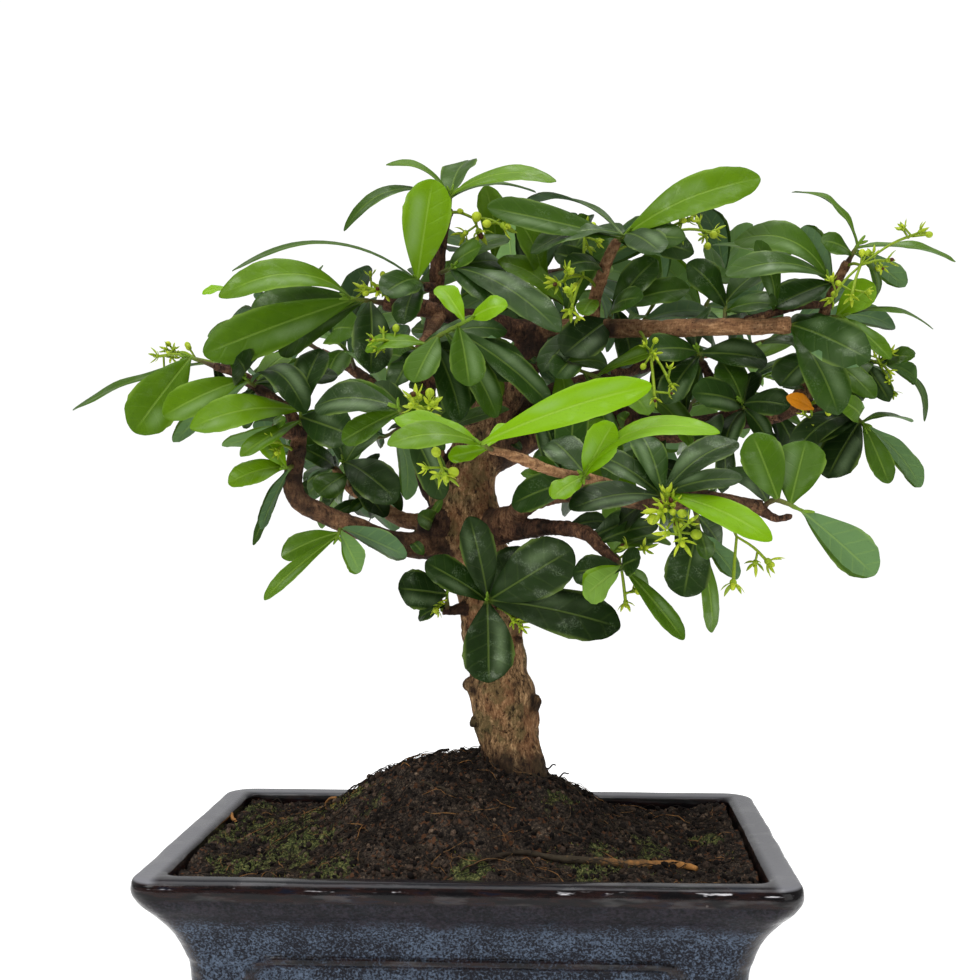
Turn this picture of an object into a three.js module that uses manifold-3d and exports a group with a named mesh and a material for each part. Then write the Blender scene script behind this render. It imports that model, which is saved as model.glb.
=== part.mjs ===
// A fukien tea bonsai in its glazed pot: a forked trunk with pruned limbs, leafy shoots, sprays of
// starry green calyces, a mound of peat and a rectangular stoneware pot with a rolled lip.
// Millimetres, +Z up, +X to the right of the show side, +Y away from it. The pot stands on z = 0.
import * as THREE from "three";
import { mergeVertices } from "three/addons/utils/BufferGeometryUtils.js";
import Module from "manifold-3d";

const wasm = await Module();
wasm.setup();

// Pot
const POT_LENGTH = 204;
const POT_WIDTH = 150;
const POT_HEIGHT = 72;
const FOOT_HEIGHT = 6;
const FOOT_SPOT = [62, 40];
const FOOT_CORNER = 5;
const POT_FLOOR = 12;
const DRAIN_RADIUS = 7;
const DRAIN_SIDES = 12;
const DRAIN_SPACING = 90;
const PANEL_LENGTH = 136;
const PANEL_WIDTH = 84;
const PANEL_TOP = 46;
const PANEL_BOTTOM = 15;
const PANEL_CORNER = 9;
const PANEL_CORNER_STEPS = 2;
const BEAD_WIDTH = 3;
const BEAD_RISE = 1.1;

// Soil
const SOIL_LEVEL = 66.5;
const MOUND_RISE = 32;
const MOUND_CENTRE = [-4, -2];
const MOUND_SPREAD = [49, 44];
const GAP = 0.3;

// Tree
const TRUNK_SPOT = [12, 0];
const STEM_RADIUS = 0.95;
const BLADE_THICKNESS = 1.2;
const STALK_RADIUS = 0.6;
const CALYX_RADIUS = 4.2;
const BLADE_GAP = 3;
const LEAST_BLADE_GAP = 1.9;
const WOOD_GAP = 1.6;

// The show side is set out as it is seen: a place is a column and a row of the 980 x 980 view, and a
// depth in millimetres behind the middle of the pot, along the sight line from the eye.
const VIEW_MIDDLE = 490;
const VIEW_FOCAL = 1600;
const EYE = new THREE.Vector3(32, -548, POT_HEIGHT + 118.7);
const VIEW_TURN = THREE.MathUtils.degToRad(2.87);
const VIEW_PITCH = THREE.MathUtils.degToRad(-0.17);
const AHEAD = new THREE.Vector3(
  -Math.sin(VIEW_TURN) * Math.cos(VIEW_PITCH),
  Math.cos(VIEW_TURN) * Math.cos(VIEW_PITCH),
  Math.sin(VIEW_PITCH),
);
const RIGHT = new THREE.Vector3(Math.cos(VIEW_TURN), Math.sin(VIEW_TURN), 0);
const UP = new THREE.Vector3().crossVectors(RIGHT, AHEAD);

function sight([column, row, depth]) {
  const ray = AHEAD.clone()
    .addScaledVector(RIGHT, (column - VIEW_MIDDLE) / VIEW_FOCAL)
    .addScaledVector(UP, (VIEW_MIDDLE - row) / VIEW_FOCAL);
  return EYE.clone().addScaledVector(ray, (depth - EYE.y) / ray.y);
}

// Trunk, limbs and twigs: column, row, depth and diameter along each, from its root outwards
const WOOD = {
  trunk: [
    [511, 800, 0, 24], [511, 772, 0, 22.5], [507, 740, 0, 21], [501, 700, 0, 21.2],
    [495, 655, 0, 21.4], [490, 615, 0, 21], [485, 580, 0, 21], [476, 550, 0, 22], [465, 520, 0, 23],
    [461, 488, 0, 20],
  ],
  right_fork: [
    [462, 505, 0, 19], [473, 455, 2, 15.5], [492, 415, 4, 14], [515, 378, 5, 13], [542, 333, 6, 11.5],
  ],
  left_fork: [
    [452, 508, 2, 13], [431, 466, 6, 10], [424, 420, 8, 8.5], [426, 370, 8, 7.5], [434, 320, 6, 6.2],
    [437, 280, 2, 5.2], [440, 245, 0, 4.6], [449, 207, -2, 3.8],
  ],
  bar_left: [
    [548, 340, 5, 9.5], [505, 327, 0, 7.6], [460, 317, -8, 6.8], [420, 308, -14, 6],
    [383, 303, -18, 5],
  ],
  bar_right: [
    [530, 333, 5, 8.5], [600, 329, -4, 6.4], [660, 328, -12, 6.2], [730, 327, -17, 6],
    [791, 325, -20, 5.2],
  ],
  right_limb: [
    [485, 455, 3, 13], [545, 428, 8, 11], [610, 418, 12, 10], [680, 430, 10, 9.5], [745, 418, 6, 9],
    [802, 404, 2, 6.5],
  ],
  right_up: [
    [798, 406, 2, 6], [812, 372, 0, 4.6], [818, 345, -2, 4.2], [823, 318, -4, 4], [834, 290, -6, 3.6],
    [848, 262, -8, 3.2],
  ],
  low_right: [
    [484, 532, -4, 9], [520, 530, -16, 6.6], [552, 527, -28, 5.6], [585, 533, -38, 4.6],
    [603, 549, -45, 3.6], [617, 562, -50, 3],
  ],
  front_limb: [
    [484, 524, -4, 9], [512, 515, -16, 6.8], [535, 501, -28, 6.2], [575, 493, -42, 6], [640, 500, -55, 5.6],
    [700, 500, -58, 6.4], [762, 508, -58, 4.6],
  ],
  front_twig: [
    [640, 500, -55, 4.2], [620, 490, -62, 4], [590, 479, -68, 3.6], [555, 472, -73, 3.4],
    [520, 458, -76, 3.2], [488, 449, -78, 2.8],
  ],
  left_limb: [
    [462, 548, -2, 11], [425, 546, -8, 9], [392, 541, -14, 8], [358, 528, -20, 7.2], [322, 513, -24, 6.8],
    [300, 501, -26, 6.6], [293, 482, -26, 6.6], [296, 455, -25, 6], [302, 430, -24, 4.8],
  ],
  left_up: [
    [302, 433, -24, 4.6], [286, 409, -22, 4.2], [262, 391, -20, 4], [240, 375, -18, 3.6],
    [214, 366, -16, 2.8],
  ],
  left_stub: [[298, 432, -25, 5.4], [274, 427, -30, 4.8]],
  left_back: [
    [446, 524, 4, 8], [405, 520, 6, 5.5], [375, 502, 10, 4.6], [350, 488, 14, 3.8],
    [334, 468, 18, 2.8],
  ],
  knot: [[452, 522, -4, 12], [430, 522, -9, 9]],
  front_left: [[440, 462, 2, 6.5], [430, 440, -20, 5], [415, 427, -45, 4], [406, 418, -62, 3]],
  mid_twig: [[442, 313, -10, 4.6], [428, 335, -25, 3.6], [417, 350, -36, 2.8]],
  leader_spur: [[437, 290, 2, 4], [420, 284, -12, 2.6]],
  top_spur: [[590, 328, -4, 5.6], [596, 295, -8, 4.6], [607, 262, -12, 4.2], [618, 240, -14, 3.4]],
  thin_right: [[745, 322, -18, 3.4], [790, 308, -14, 2.8], [826, 304, -6, 2.6]],
  mid_right: [[742, 416, 6, 5.2], [718, 390, 0, 4], [702, 362, -8, 3]],
  low_tip: [[756, 507, -58, 3], [776, 519, -60, 2.2], [792, 516, -62, 1.8]],
  trunk_spur: [[497, 612, -2, 6], [489, 604, -15, 3.2]],
  low_left_spur: [[488, 604, 0, 7], [462, 609, -8, 4.4], [442, 611, -11, 3.4]],
  right_reach: [[818, 348, -2, 3.6], [842, 360, 2, 2.8], [862, 362, 4, 2.4]],
  right_low_reach: [[800, 405, 2, 4.6], [835, 411, 0, 3.4], [856, 418, -4, 2.6]],
  back_left: [
    [445, 480, 6, 9.5], [425, 440, 26, 7.5], [392, 402, 50, 5.8], [356, 372, 70, 4.4],
    [322, 352, 84, 3],
  ],
  back_right: [
    [502, 420, 8, 9.5], [560, 392, 34, 7.5], [622, 372, 54, 6], [684, 358, 72, 4.4], [732, 350, 84, 3],
  ],
  back_top: [[540, 338, 8, 7.5], [540, 312, 30, 5.6], [544, 290, 50, 4.2], [550, 272, 64, 3]],
  back_middle: [[470, 458, 8, 9], [482, 424, 38, 6.4], [494, 404, 64, 4.6], [500, 392, 84, 3]],
};

// Leafy shoots: the stem from the wood outwards, then each leaf's tip, width, face and arch. A leaf
// of face 90 shows its whole upper side, of face 0 its edge, and of a face below 0 its underside.
const SHOOTS = {
  leader: {
    stem: [[449, 209, -2], [451, 195, -4]],
    leaves: [
      [343, 221, -20, 8.4, 20, 0.2], [387, 163, -12, 8.4, 16, 0.2], [466, 160, 24, 13, 50, 0.08],
      [536, 193, 6, 9, 12, 0.14], [555, 177, -14, 10.6, 34, 0.14],
    ],
  },
  leader_base: {
    stem: [[424, 286, -8], [417, 280, -16]],
    leaves: [
      [398, 334, -26, 11, 50, 0.1], [374, 297, -38, 12, 50, 0.12], [232, 268, -40, 11, 9, 0.17],
      [436, 238, 14, 8, 45, 0.1], [432, 180, -16, 16.4, 84, 0.04],
    ],
  },
  upper_left: {
    stem: [[383, 303, -18], [350, 298, -25]],
    leaves: [
      [371, 372, -42, 14, 76, 0.08], [276, 352, -12, 12, 60, 0.08], [251, 309, -20, 13, 64, 0.06],
      [203, 354, -34, 16, 80, 0.06], [213, 289, -40, 12.6, 46, 0.22],
    ],
  },
  far_left: {
    stem: [[214, 366, -16], [190, 357, -17]],
    leaves: [[72, 409, -6, 9, 16, 0.05], [134, 431, -28, 17, 84, 0.06]],
  },
  left_middle: {
    stem: [[256, 387, -19], [246, 379, -27]],
    leaves: [
      [338, 376, -16, 10, 50, 0.1], [306, 412, -38, 13.5, 40, 0.36], [173, 439, -16, 8, -62, 0.05],
      [163, 416, -38, 12, 62, 0.1],
    ],
  },
  left_bend: {
    stem: [[302, 432, -24], [300, 410, -30]],
    leaves: [
      [222, 446, -16, 7, -50, 0.02], [227, 461, -32, 7, 50, 0.04], [350, 434, -44, 14, 78, 0.06],
      [313, 374, -10, 12, 55, 0.12], [190, 426, -44, 13.4, 54, 0.14],
    ],
  },
  left_low: {
    stem: [[294, 468, -26], [286, 468, -34]],
    leaves: [
      [252, 545, -24, 5, 40, 0.02], [258, 529, -34, 7, -36, 0.03], [228, 483, -38, 10.6, 54, 0.14],
      [262, 436, -36, 8, 64, 0.06],
    ],
  },
  left_under: {
    stem: [[342, 521, -22], [338, 536, -27]],
    leaves: [
      [407, 555, -34, 10.6, -46, 0.04], [361, 572, -34, 9, -64, 0.03], [281, 556, -30, 9.4, 62, 0.1],
      [257, 602, -40, 6, 50, 0.03],
    ],
  },
  left_heart: {
    stem: [[350, 488, 14], [344, 462, 2]],
    leaves: [
      [390, 522, 4, 10, 50, 0.08], [318, 494, 0, 12, 55, 0.1], [402, 510, -2, 8, 42, 0.3],
      [324, 428, 22, 12, 40, 0.1], [372, 430, 14, 12, 50, 0.12], [398, 501, -20, 14, 72, 0.14],
    ],
  },
  front_left: {
    stem: [[406, 418, -62], [398, 408, -66]],
    leaves: [
      [433, 478, -42, 10, 70, 0.06], [342, 441, -60, 9, 60, 0.06], [314, 404, -64, 14.5, 48, 0.16],
    ],
  },
  young_shoot: {
    stem: [[417, 350, -36], [444, 333, -44], [472, 318, -52]],
    from: 0.06,
    leaves: [
      [392, 390, -44, 10, 50, 0.1], [366, 345, -38, 8.4, 40, 0.1], [462, 420, -40, 12, 64, 0.08],
      [412, 385, -50, 12, 60, 0.06], [498, 417, -42, 12, 54, 0.1], [547, 402, -28, 11, 52, 0.08],
      [470, 386, -56, 12, 60, 0.06], [439, 282, -46, 7.6, 66, 0.06], [502, 303, -62, 8, 54, 0.06],
    ],
  },
  upper_middle: {
    stem: [[437, 276, 2], [453, 268, -12]],
    leaves: [
      [508, 236, 10, 11, 40, 0.1], [524, 262, 12, 12, 50, 0.1], [481, 246, -18, 10, 45, 0.1],
      [500, 300, -30, 11, 60, 0.1], [560, 329, -44, 13, 50, 0.1],
    ],
  },
  front_twig_end: {
    stem: [[492, 450, -78], [480, 444, -82]],
    leaves: [
      [448, 457, -80, 6, 60, 0.02], [512, 424, -74, 6, 50, 0.06], [400, 420, -74, 9, 44, 0.1],
      [378, 440, -88, 10.6, 40, 0.12], [651, 384, -96, 11, 72, 0.1],
    ],
  },
  front_twig_middle: {
    stem: [[590, 479, -68], [583, 475, -74]],
    leaves: [
      [552, 438, -58, 12, 66, 0.08], [510, 503, -64, 12, 62, 0.06], [546, 500, -76, 8, 52, 0.06],
      [612, 424, -84, 10.6, 78, 0.04], [720, 432, -88, 11, 34, 0.22],
    ],
  },
  front_heart: {
    stem: [[655, 501, -56], [665, 494, -66]],
    leaves: [
      [582, 541, -46, 13.4, 55, 0.06], [553, 508, -60, 13, 40, 0.1], [592, 452, -48, 10, 55, 0.1],
      [640, 430, -52, 11, 60, 0.08], [737, 440, -58, 13.4, 42, 0.14], [742, 478, -78, 9, 46, 0.1],
      [785, 541, -76, 9, 60, 0.08],
    ],
  },
  front_hanging: {
    stem: [[692, 502, -58], [700, 538, -60]],
    leaves: [
      [722, 548, -46, 9, 50, 0.06], [676, 548, -50, 9, 50, 0.06], [683, 597, -60, 14.5, 80, 0.04],
      [708, 556, -76, 6, 60, 0.02], [738, 577, -54, 8, -56, 0.06], [716, 642, -62, 7, 52, 0.02],
    ],
  },
  right_pair: {
    stem: [[762, 508, -58], [776, 500, -62], [803, 511, -63]],
    from: 0.2,
    leaves: [
      [740, 466, -38, 12, 60, 0.08], [753, 434, -66, 14, 74, 0.04], [806, 440, -58, 15.4, 80, 0.04],
      [876, 574, -62, 14, -64, 0.05],
    ],
  },
  low_right: {
    stem: [[617, 562, -50], [625, 570, -54]],
    leaves: [
      [646, 596, -36, 8, 40, 0.1], [583, 596, -62, 11, -62, 0.04], [660, 545, -62, 9, 66, 0.08],
      [572, 572, -48, 11, 60, 0.06], [684, 640, -60, 7.5, 60, 0.05],
    ],
  },
  trunk_spur: {
    stem: [[489, 604, -15], [487, 600, -22]],
    leaves: [
      [521, 546, -14, 12, 66, 0.06], [470, 517, -30, 12, 72, 0.06], [425, 562, -26, 12, 60, 0.08],
      [577, 546, -34, 19, 86, 0.04], [615, 626, -40, 17, 66, 0.08], [489, 682, -36, 17, 85, 0.05],
    ],
  },
  low_left_spur: {
    stem: [[446, 611, -11], [447, 594, -16]],
    leaves: [[418, 618, -8, 7, 40, 0.06], [399, 588, -26, 14, 76, 0.06]],
  },
  right_top: {
    stem: [[848, 264, -8], [858, 244, -9]],
    leaves: [
      [822, 240, -16, 9, 42, 0.12], [874, 295, -16, 5, 34, 0.22], [905, 284, 6, 9, -50, 0.04],
      [963, 258, -12, 9, 12, 0.07], [796, 187, -6, 9, 18, 0.17],
    ],
  },
  right_shoulder: {
    stem: [[836, 286, -6], [828, 279, -13]],
    leaves: [
      [778, 304, -20, 12, 55, 0.08], [803, 228, 8, 10.6, -50, 0.06], [708, 238, 4, 10, 22, 0.06],
      [736, 238, -14, 13.4, 48, 0.3], [712, 268, -28, 12, 36, 0.12],
    ],
  },
  right_middle: {
    stem: [[823, 319, -4], [842, 316, -9]],
    leaves: [
      [862, 358, -6, 10, 50, 0.08], [790, 332, -14, 11, 40, 0.08], [866, 290, -20, 10.6, 70, 0.06],
      [891, 359, -18, 7, 50, 0.08], [934, 326, -10, 9, 16, 0.14],
    ],
  },
  far_right: {
    stem: [[862, 362, 4], [884, 362, 6]],
    leaves: [
      [850, 398, 12, 12, 60, 0.1], [820, 398, -14, 12, 50, 0.1], [914, 356, -8, 8, 50, 0.1],
      [914, 378, -10, 7, -60, 0.14], [927, 420, 2, 8, 14, 0.2],
    ],
  },
  right_heart: {
    stem: [[818, 350, -2], [812, 358, -12]],
    leaves: [[882, 402, -16, 9, 54, 0.1], [780, 384, -20, 13, 60, 0.1], [763, 343, -14, 9, 24, 0.2]],
  },
  low_far_right: {
    stem: [[856, 418, -4], [864, 424, -8]],
    leaves: [
      [797, 440, -12, 12, 52, 0.12], [830, 472, -20, 14, 74, 0.06], [912, 422, 6, 7, 18, 0.12],
      [887, 479, -18, 9.4, 60, 0.04], [922, 486, -6, 10, -44, 0.1],
    ],
  },
  right_crook: {
    stem: [[745, 416, 6], [742, 402, -8]],
    leaves: [
      [752, 372, 8, 11, 55, 0.08], [722, 452, -22, 12, 50, 0.1], [770, 444, -2, 10, 50, 0.1],
      [694, 392, -26, 12, 56, 0.1], [790, 406, -16, 12, 50, 0.12], [722, 362, -12, 13, 60, 0.12],
    ],
  },
  mid_right: {
    stem: [[702, 362, -8], [697, 350, -14]],
    leaves: [
      [650, 385, 0, 12, 50, 0.1], [668, 400, -24, 11, 60, 0.1], [765, 358, -4, 12.6, 58, 0.08],
      [646, 350, -24, 12, 50, 0.1], [700, 310, 6, 12, 54, 0.08],
    ],
  },
  bar_middle: {
    stem: [[606, 329, -5], [614, 306, 0]],
    leaves: [
      [566, 352, -26, 15, 80, 0.06], [640, 296, -30, 10, 30, 0.1], [655, 258, -6, 12, 60, 0.08],
      [688, 288, -10, 11, 50, 0.1], [632, 368, 12, 12, 56, 0.1],
    ],
  },
  bar_end: {
    stem: [[722, 325, -17], [726, 302, -8]],
    leaves: [
      [764, 366, 4, 13.4, 64, 0.08], [775, 302, -26, 11, 36, 0.1], [690, 262, -18, 12, 54, 0.1],
      [764, 268, -4, 12, 50, 0.12],
    ],
  },
  top_spur: {
    stem: [[616, 243, -14], [626, 234, -17]],
    leaves: [
      [694, 238, -14, 10, 60, 0.1], [761, 178, -26, 14.5, 60, 0.15], [478, 203, -28, 12.6, 46, 0.01],
      [488, 189, 8, 9, 8, 0.12], [525, 250, -16, 11, 30, 0.14], [680, 262, -32, 12, 54, 0.1],
    ],
  },
};

// Leafy stems on the far side and inside the crown: the stem, then how many leaves go round it
const FAR_SHOOTS = {
  back_left_end: { stem: [[322, 352, 84], [298, 338, 84], [270, 330, 74]], leaves: 8 },
  back_left_upper: { stem: [[356, 372, 70], [350, 356, 62], [338, 342, 54]], leaves: 8 },
  back_left_lower: { stem: [[410, 424, 38], [386, 436, 46], [352, 440, 50]], leaves: 7 },
  back_right_end: { stem: [[732, 350, 84], [768, 340, 78], [806, 326, 62]], leaves: 8 },
  back_right_upper: { stem: [[684, 358, 72], [700, 316, 66], [724, 276, 54]], leaves: 9 },
  back_right_middle: { stem: [[622, 372, 54], [640, 328, 50], [664, 287, 42]], leaves: 9 },
  back_right_lower: { stem: [[610, 376, 50], [628, 404, 60], [664, 420, 64]], leaves: 6 },
  back_top: { stem: [[550, 264, 64], [566, 270, 58], [597, 276, 44]], leaves: 7 },
  back_top_left: { stem: [[541, 305, 34], [516, 276, 34], [484, 254, 32]], leaves: 7 },
  back_middle: { stem: [[500, 392, 84], [496, 358, 88], [470, 332, 84]], leaves: 7 },
  inner_right: { stem: [[680, 428, 10], [700, 396, 26], [764, 376, 30]], leaves: 8 },
  inner_left: { stem: [[560, 331, 0], [566, 306, 16], [520, 282, 18]], leaves: 8 },
  inner_middle: { stem: [[548, 428, 8], [580, 450, 22], [640, 462, 22]], leaves: 8 },
  inner_centre: { stem: [[530, 352, 6], [568, 366, -8], [622, 386, -12]], leaves: 8 },
};

// Sprays of calyces: where the stalk leaves the wood, then each calyx
const SPRAYS = {
  far_left: [[234, 373, -17], [156, 356, 2], [174, 353, 10]],
  upper_left: [[400, 304, -17], [362, 290, -14], [378, 289, -28]],
  crown: [[449, 212, -2], [480, 234, -8], [506, 226, -12]],
  top: [[598, 290, -9], [585, 226, -14], [556, 284, -30], [570, 312, -34]],
  right_of_top: [[612, 252, -13], [690, 219, -20], [716, 232, -6]],
  right_end: [[846, 268, -8], [922, 231, -14], [890, 260, -16], [851, 298, -26], [830, 301, -20]],
  front_heart: [[668, 500, -57], [660, 512, -74], [676, 522, -70], [682, 543, -78]],
  low_right: [[600, 546, -44], [626, 604, -40], [646, 548, -60]],
  hanging: [[716, 502, -58], [770, 563, -60], [733, 585, -66]],
  front_left: [[410, 420, -56], [414, 396, -70], [432, 404, -74], [446, 478, -72]],
};

// A surface root: its way over the soil, and its diameter
const ROOT_WAY = [[6, -53], [18, -45], [31, -46.5], [43, -44], [55, -37], [66, -35], [72, -40]];
const ROOT_DIAMETER = 3.2;

const GLAZE = new THREE.MeshStandardMaterial({ color: 0x2f3f5c, roughness: 0.25, metalness: 0 });
const PEAT = new THREE.MeshStandardMaterial({ color: 0x2e231c, roughness: 0.95, metalness: 0 });
const MESH_PLASTIC = new THREE.MeshStandardMaterial({ color: 0x1b1b1b, roughness: 0.6, metalness: 0 });
const BARK = new THREE.MeshStandardMaterial({ color: 0x7a5a3c, roughness: 0.85, metalness: 0 });
const LEAF = new THREE.MeshStandardMaterial({ color: 0x35611c, roughness: 0.35, metalness: 0 });
const CALYX = new THREE.MeshStandardMaterial({ color: 0xa3bf26, roughness: 0.5, metalness: 0 });
const ROOT = new THREE.MeshStandardMaterial({ color: 0x8a6236, roughness: 0.85, metalness: 0 });

// Solids

function solidOf(points, faces) {
  const volume = faces.reduce((sum, [a, b, c]) => {
    const cross = new THREE.Vector3().crossVectors(points[b], points[c]);
    return sum + points[a].dot(cross);
  }, 0);
  const facing = volume < 0 ? faces.map(([a, b, c]) => [a, c, b]) : faces;
  return new wasm.Manifold(
    new wasm.Mesh({
      numProp: 3,
      vertProperties: new Float32Array(points.flatMap((p) => [p.x, p.y, p.z])),
      triVerts: new Uint32Array(facing.flat()),
    }),
  );
}

// A closed solid through rings of points. A ring of one point is a tip; an open end is capped.
function loft(rings) {
  const starts = [];
  let total = 0;
  for (const ring of rings) {
    starts.push(total);
    total += ring.length;
  }
  const faces = [];
  for (let k = 0; k + 1 < rings.length; k++) {
    const [near, far] = [rings[k].length, rings[k + 1].length];
    const count = Math.max(near, far);
    for (let i = 0; i < count; i++) {
      const j = (i + 1) % count;
      const [a, b] = [starts[k] + (i % near), starts[k] + (j % near)];
      const [c, d] = [starts[k + 1] + (i % far), starts[k + 1] + (j % far)];
      if (near > 1) faces.push([a, b, c]);
      if (far > 1) faces.push([b, d, c]);
    }
  }
  const fan = (start, count, turn) => {
    for (let i = 1; i + 1 < count; i++) {
      faces.push(turn ? [start, start + i, start + i + 1] : [start, start + i + 1, start + i]);
    }
  };
  fan(starts[0], rings[0].length, false);
  fan(starts.at(-1), rings.at(-1).length, true);
  return solidOf(rings.flat(), faces);
}

// A closed three.js geometry, such as a cylinder or an extruded outline, as a solid
function solidFrom(geometry) {
  geometry.deleteAttribute("normal");
  geometry.deleteAttribute("uv");
  const merged = mergeVertices(geometry, 1e-4);
  return new wasm.Manifold(
    new wasm.Mesh({
      numProp: 3,
      vertProperties: new Float32Array(merged.attributes.position.array),
      triVerts: new Uint32Array(merged.index.array),
    }),
  );
}

function join(solids) {
  return wasm.Manifold.union(solids);
}

// The largest body of a solid: what a cut leaves loose beside it is dropped
function mainBody(solid) {
  return solid.decompose().reduce((best, body) => (body.volume() > best.volume() ? body : best));
}

function geometryOf(solid) {
  const mesh = solid.getMesh();
  return new THREE.BufferGeometry()
    .setAttribute("position", new THREE.BufferAttribute(new Float32Array(mesh.vertProperties), 3))
    .setIndex(new THREE.BufferAttribute(new Uint32Array(mesh.triVerts), 1));
}

// A round tube along a path, with a radius for each of its points
function tube(path, radii, sides) {
  let normal = new THREE.Vector3(0.31, 0.95, 0.05);
  const rings = path.map((point, k) => {
    const before = path[Math.max(0, k - 1)];
    const after = path[Math.min(path.length - 1, k + 1)];
    const along = after.clone().sub(before).normalize();
    normal = normal.clone().addScaledVector(along, -normal.dot(along));
    if (normal.length() < 0.05) normal = new THREE.Vector3(1, 0, 0).addScaledVector(along, -along.x);
    normal.normalize();
    const across = new THREE.Vector3().crossVectors(along, normal);
    return Array.from({ length: sides }, (_, i) => {
      const angle = (2 * Math.PI * i) / sides;
      return point
        .clone()
        .addScaledVector(normal, radii[k] * Math.cos(angle))
        .addScaledVector(across, radii[k] * Math.sin(angle));
    });
  });
  return loft(rings);
}

// Pot

// Outside and inside of the pot's wall, from the foot up, over the lip and down: inset and height
const WALL_OUTSIDE = [
  [19, 6], [16.6, 10], [15.2, 38], [13.6, 45], [10.8, 52], [6.6, 58], [2.6, 62.5], [0.3, 66.5],
  [0.2, 69.6], [1.1, 71.4], [3.4, POT_HEIGHT],
];
const WALL_INSIDE = [
  [9.2, 71.4], [10.4, 69], [11.4, 60], [16.5, 50], [20.5, 40], [22.5, 26], [23, POT_FLOOR],
];
const OUTER_CORNER = 9;
const INNER_CORNER = 4;
const CORNER_STEPS = 2;

// A level rectangle with round corners
function plate(halfLength, halfWidth, corner, height, steps) {
  const ring = [];
  for (let quarter = 0; quarter < 4; quarter++) {
    const [sx, sy] = [[1, 1], [-1, 1], [-1, -1], [1, -1]][quarter];
    for (let i = 0; i <= steps; i++) {
      const angle = (Math.PI / 2) * (quarter + i / steps);
      ring.push(
        new THREE.Vector3(
          sx * (halfLength - corner) + corner * Math.cos(angle),
          sy * (halfWidth - corner) + corner * Math.sin(angle),
          height,
        ),
      );
    }
  }
  return ring;
}

function wallRing([inset, height], corner, extra = 0) {
  const halfLength = POT_LENGTH / 2 - inset + extra;
  const halfWidth = POT_WIDTH / 2 - inset + extra;
  return plate(halfLength, halfWidth, corner + extra, height, CORNER_STEPS);
}

// The outline of a panel, a rectangle with round corners, drawn round the middle of its height
function panelShape(length, height, corner) {
  const [halfLength, halfHeight] = [length / 2, height / 2];
  const shape = new THREE.Shape();
  shape.moveTo(-halfLength + corner, -halfHeight);
  shape.lineTo(halfLength - corner, -halfHeight);
  shape.quadraticCurveTo(halfLength, -halfHeight, halfLength, -halfHeight + corner);
  shape.lineTo(halfLength, halfHeight - corner);
  shape.quadraticCurveTo(halfLength, halfHeight, halfLength - corner, halfHeight);
  shape.lineTo(-halfLength + corner, halfHeight);
  shape.quadraticCurveTo(-halfLength, halfHeight, -halfLength, halfHeight - corner);
  shape.lineTo(-halfLength, -halfHeight + corner);
  shape.quadraticCurveTo(-halfLength, -halfHeight, -halfLength + corner, -halfHeight);
  return shape;
}

// The bead round a panel, as a frame that runs right through the pot before it is cut to the wall
function beadFrame(length, turn) {
  const height = PANEL_TOP - PANEL_BOTTOM;
  const block = (inset, reach) =>
    solidFrom(
      new THREE.ExtrudeGeometry(
        panelShape(length - 2 * inset, height - 2 * inset, PANEL_CORNER - inset),
        { depth: 2 * reach, bevelEnabled: false, curveSegments: PANEL_CORNER_STEPS },
      )
        .translate(0, 0, -reach)
        .rotateX(Math.PI / 2)
        .rotateZ(turn)
        .translate(0, 0, PANEL_BOTTOM + height / 2),
    );
  return block(0, POT_LENGTH).subtract(block(BEAD_WIDTH, POT_LENGTH + 1));
}

function makePot() {
  const body = loft([
    ...WALL_OUTSIDE.map((row) => wallRing(row, OUTER_CORNER)),
    ...WALL_INSIDE.map((row) => wallRing(row, INNER_CORNER)),
  ]);
  const panelRows = WALL_OUTSIDE.filter(([, height]) => height <= 51);
  const panelBlock = loft(panelRows.map((row) => wallRing(row, OUTER_CORNER, BEAD_RISE)));
  const hollow = loft(WALL_INSIDE.map((row) => wallRing(row, INNER_CORNER)));
  const beads = join([beadFrame(PANEL_LENGTH, 0), beadFrame(PANEL_WIDTH, Math.PI / 2)])
    .intersect(panelBlock)
    .subtract(hollow);
  const feet = [-1, 1].flatMap((sx) =>
    [-1, 1].map((sy) => {
      const spot = new THREE.Vector3(FOOT_SPOT[0] * sx, FOOT_SPOT[1] * sy, 0);
      const sole = plate(10, 8, FOOT_CORNER, 0, 2);
      const root = plate(13, 11, FOOT_CORNER, FOOT_HEIGHT + 1, 2);
      return loft([sole, root].map((ring) => ring.map((p) => p.add(spot))));
    }),
  );
  const drains = [-1, 1].map((side) => {
    const hole = new THREE.CylinderGeometry(DRAIN_RADIUS, DRAIN_RADIUS, 3 * POT_FLOOR, DRAIN_SIDES);
    return solidFrom(hole.rotateX(Math.PI / 2).translate((side * DRAIN_SPACING) / 2, 0, POT_FLOOR));
  });
  return join([body, beads, ...feet]).subtract(join(drains));
}

// One strip of plastic mesh over both drain holes, which keeps the soil in
const MESH_LENGTH = 116;
const MESH_WIDTH = 24;
const MESH_THICKNESS = 1.2;
const MESH_HOLE = 5.5;
const MESH_PITCH = 9;

function block(length, width, bottom, top, x = 0, y = 0) {
  return solidFrom(new THREE.BoxGeometry(length, width, top - bottom).translate(x, y, (bottom + top) / 2));
}

function makeDrainMesh() {
  const bottom = POT_FLOOR + GAP;
  const top = bottom + MESH_THICKNESS;
  const holes = [-1, 1].flatMap((side) =>
    [-1, 1].flatMap((sx) =>
      [-1, 1].map((sy) => {
        const middle = (side * DRAIN_SPACING) / 2 + (sx * MESH_PITCH) / 2;
        return block(MESH_HOLE, MESH_HOLE, bottom - 1, top + 1, middle, (sy * MESH_PITCH) / 2);
      }),
    ),
  );
  return block(MESH_LENGTH, MESH_WIDTH, bottom, top).subtract(join(holes));
}

// Soil

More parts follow.
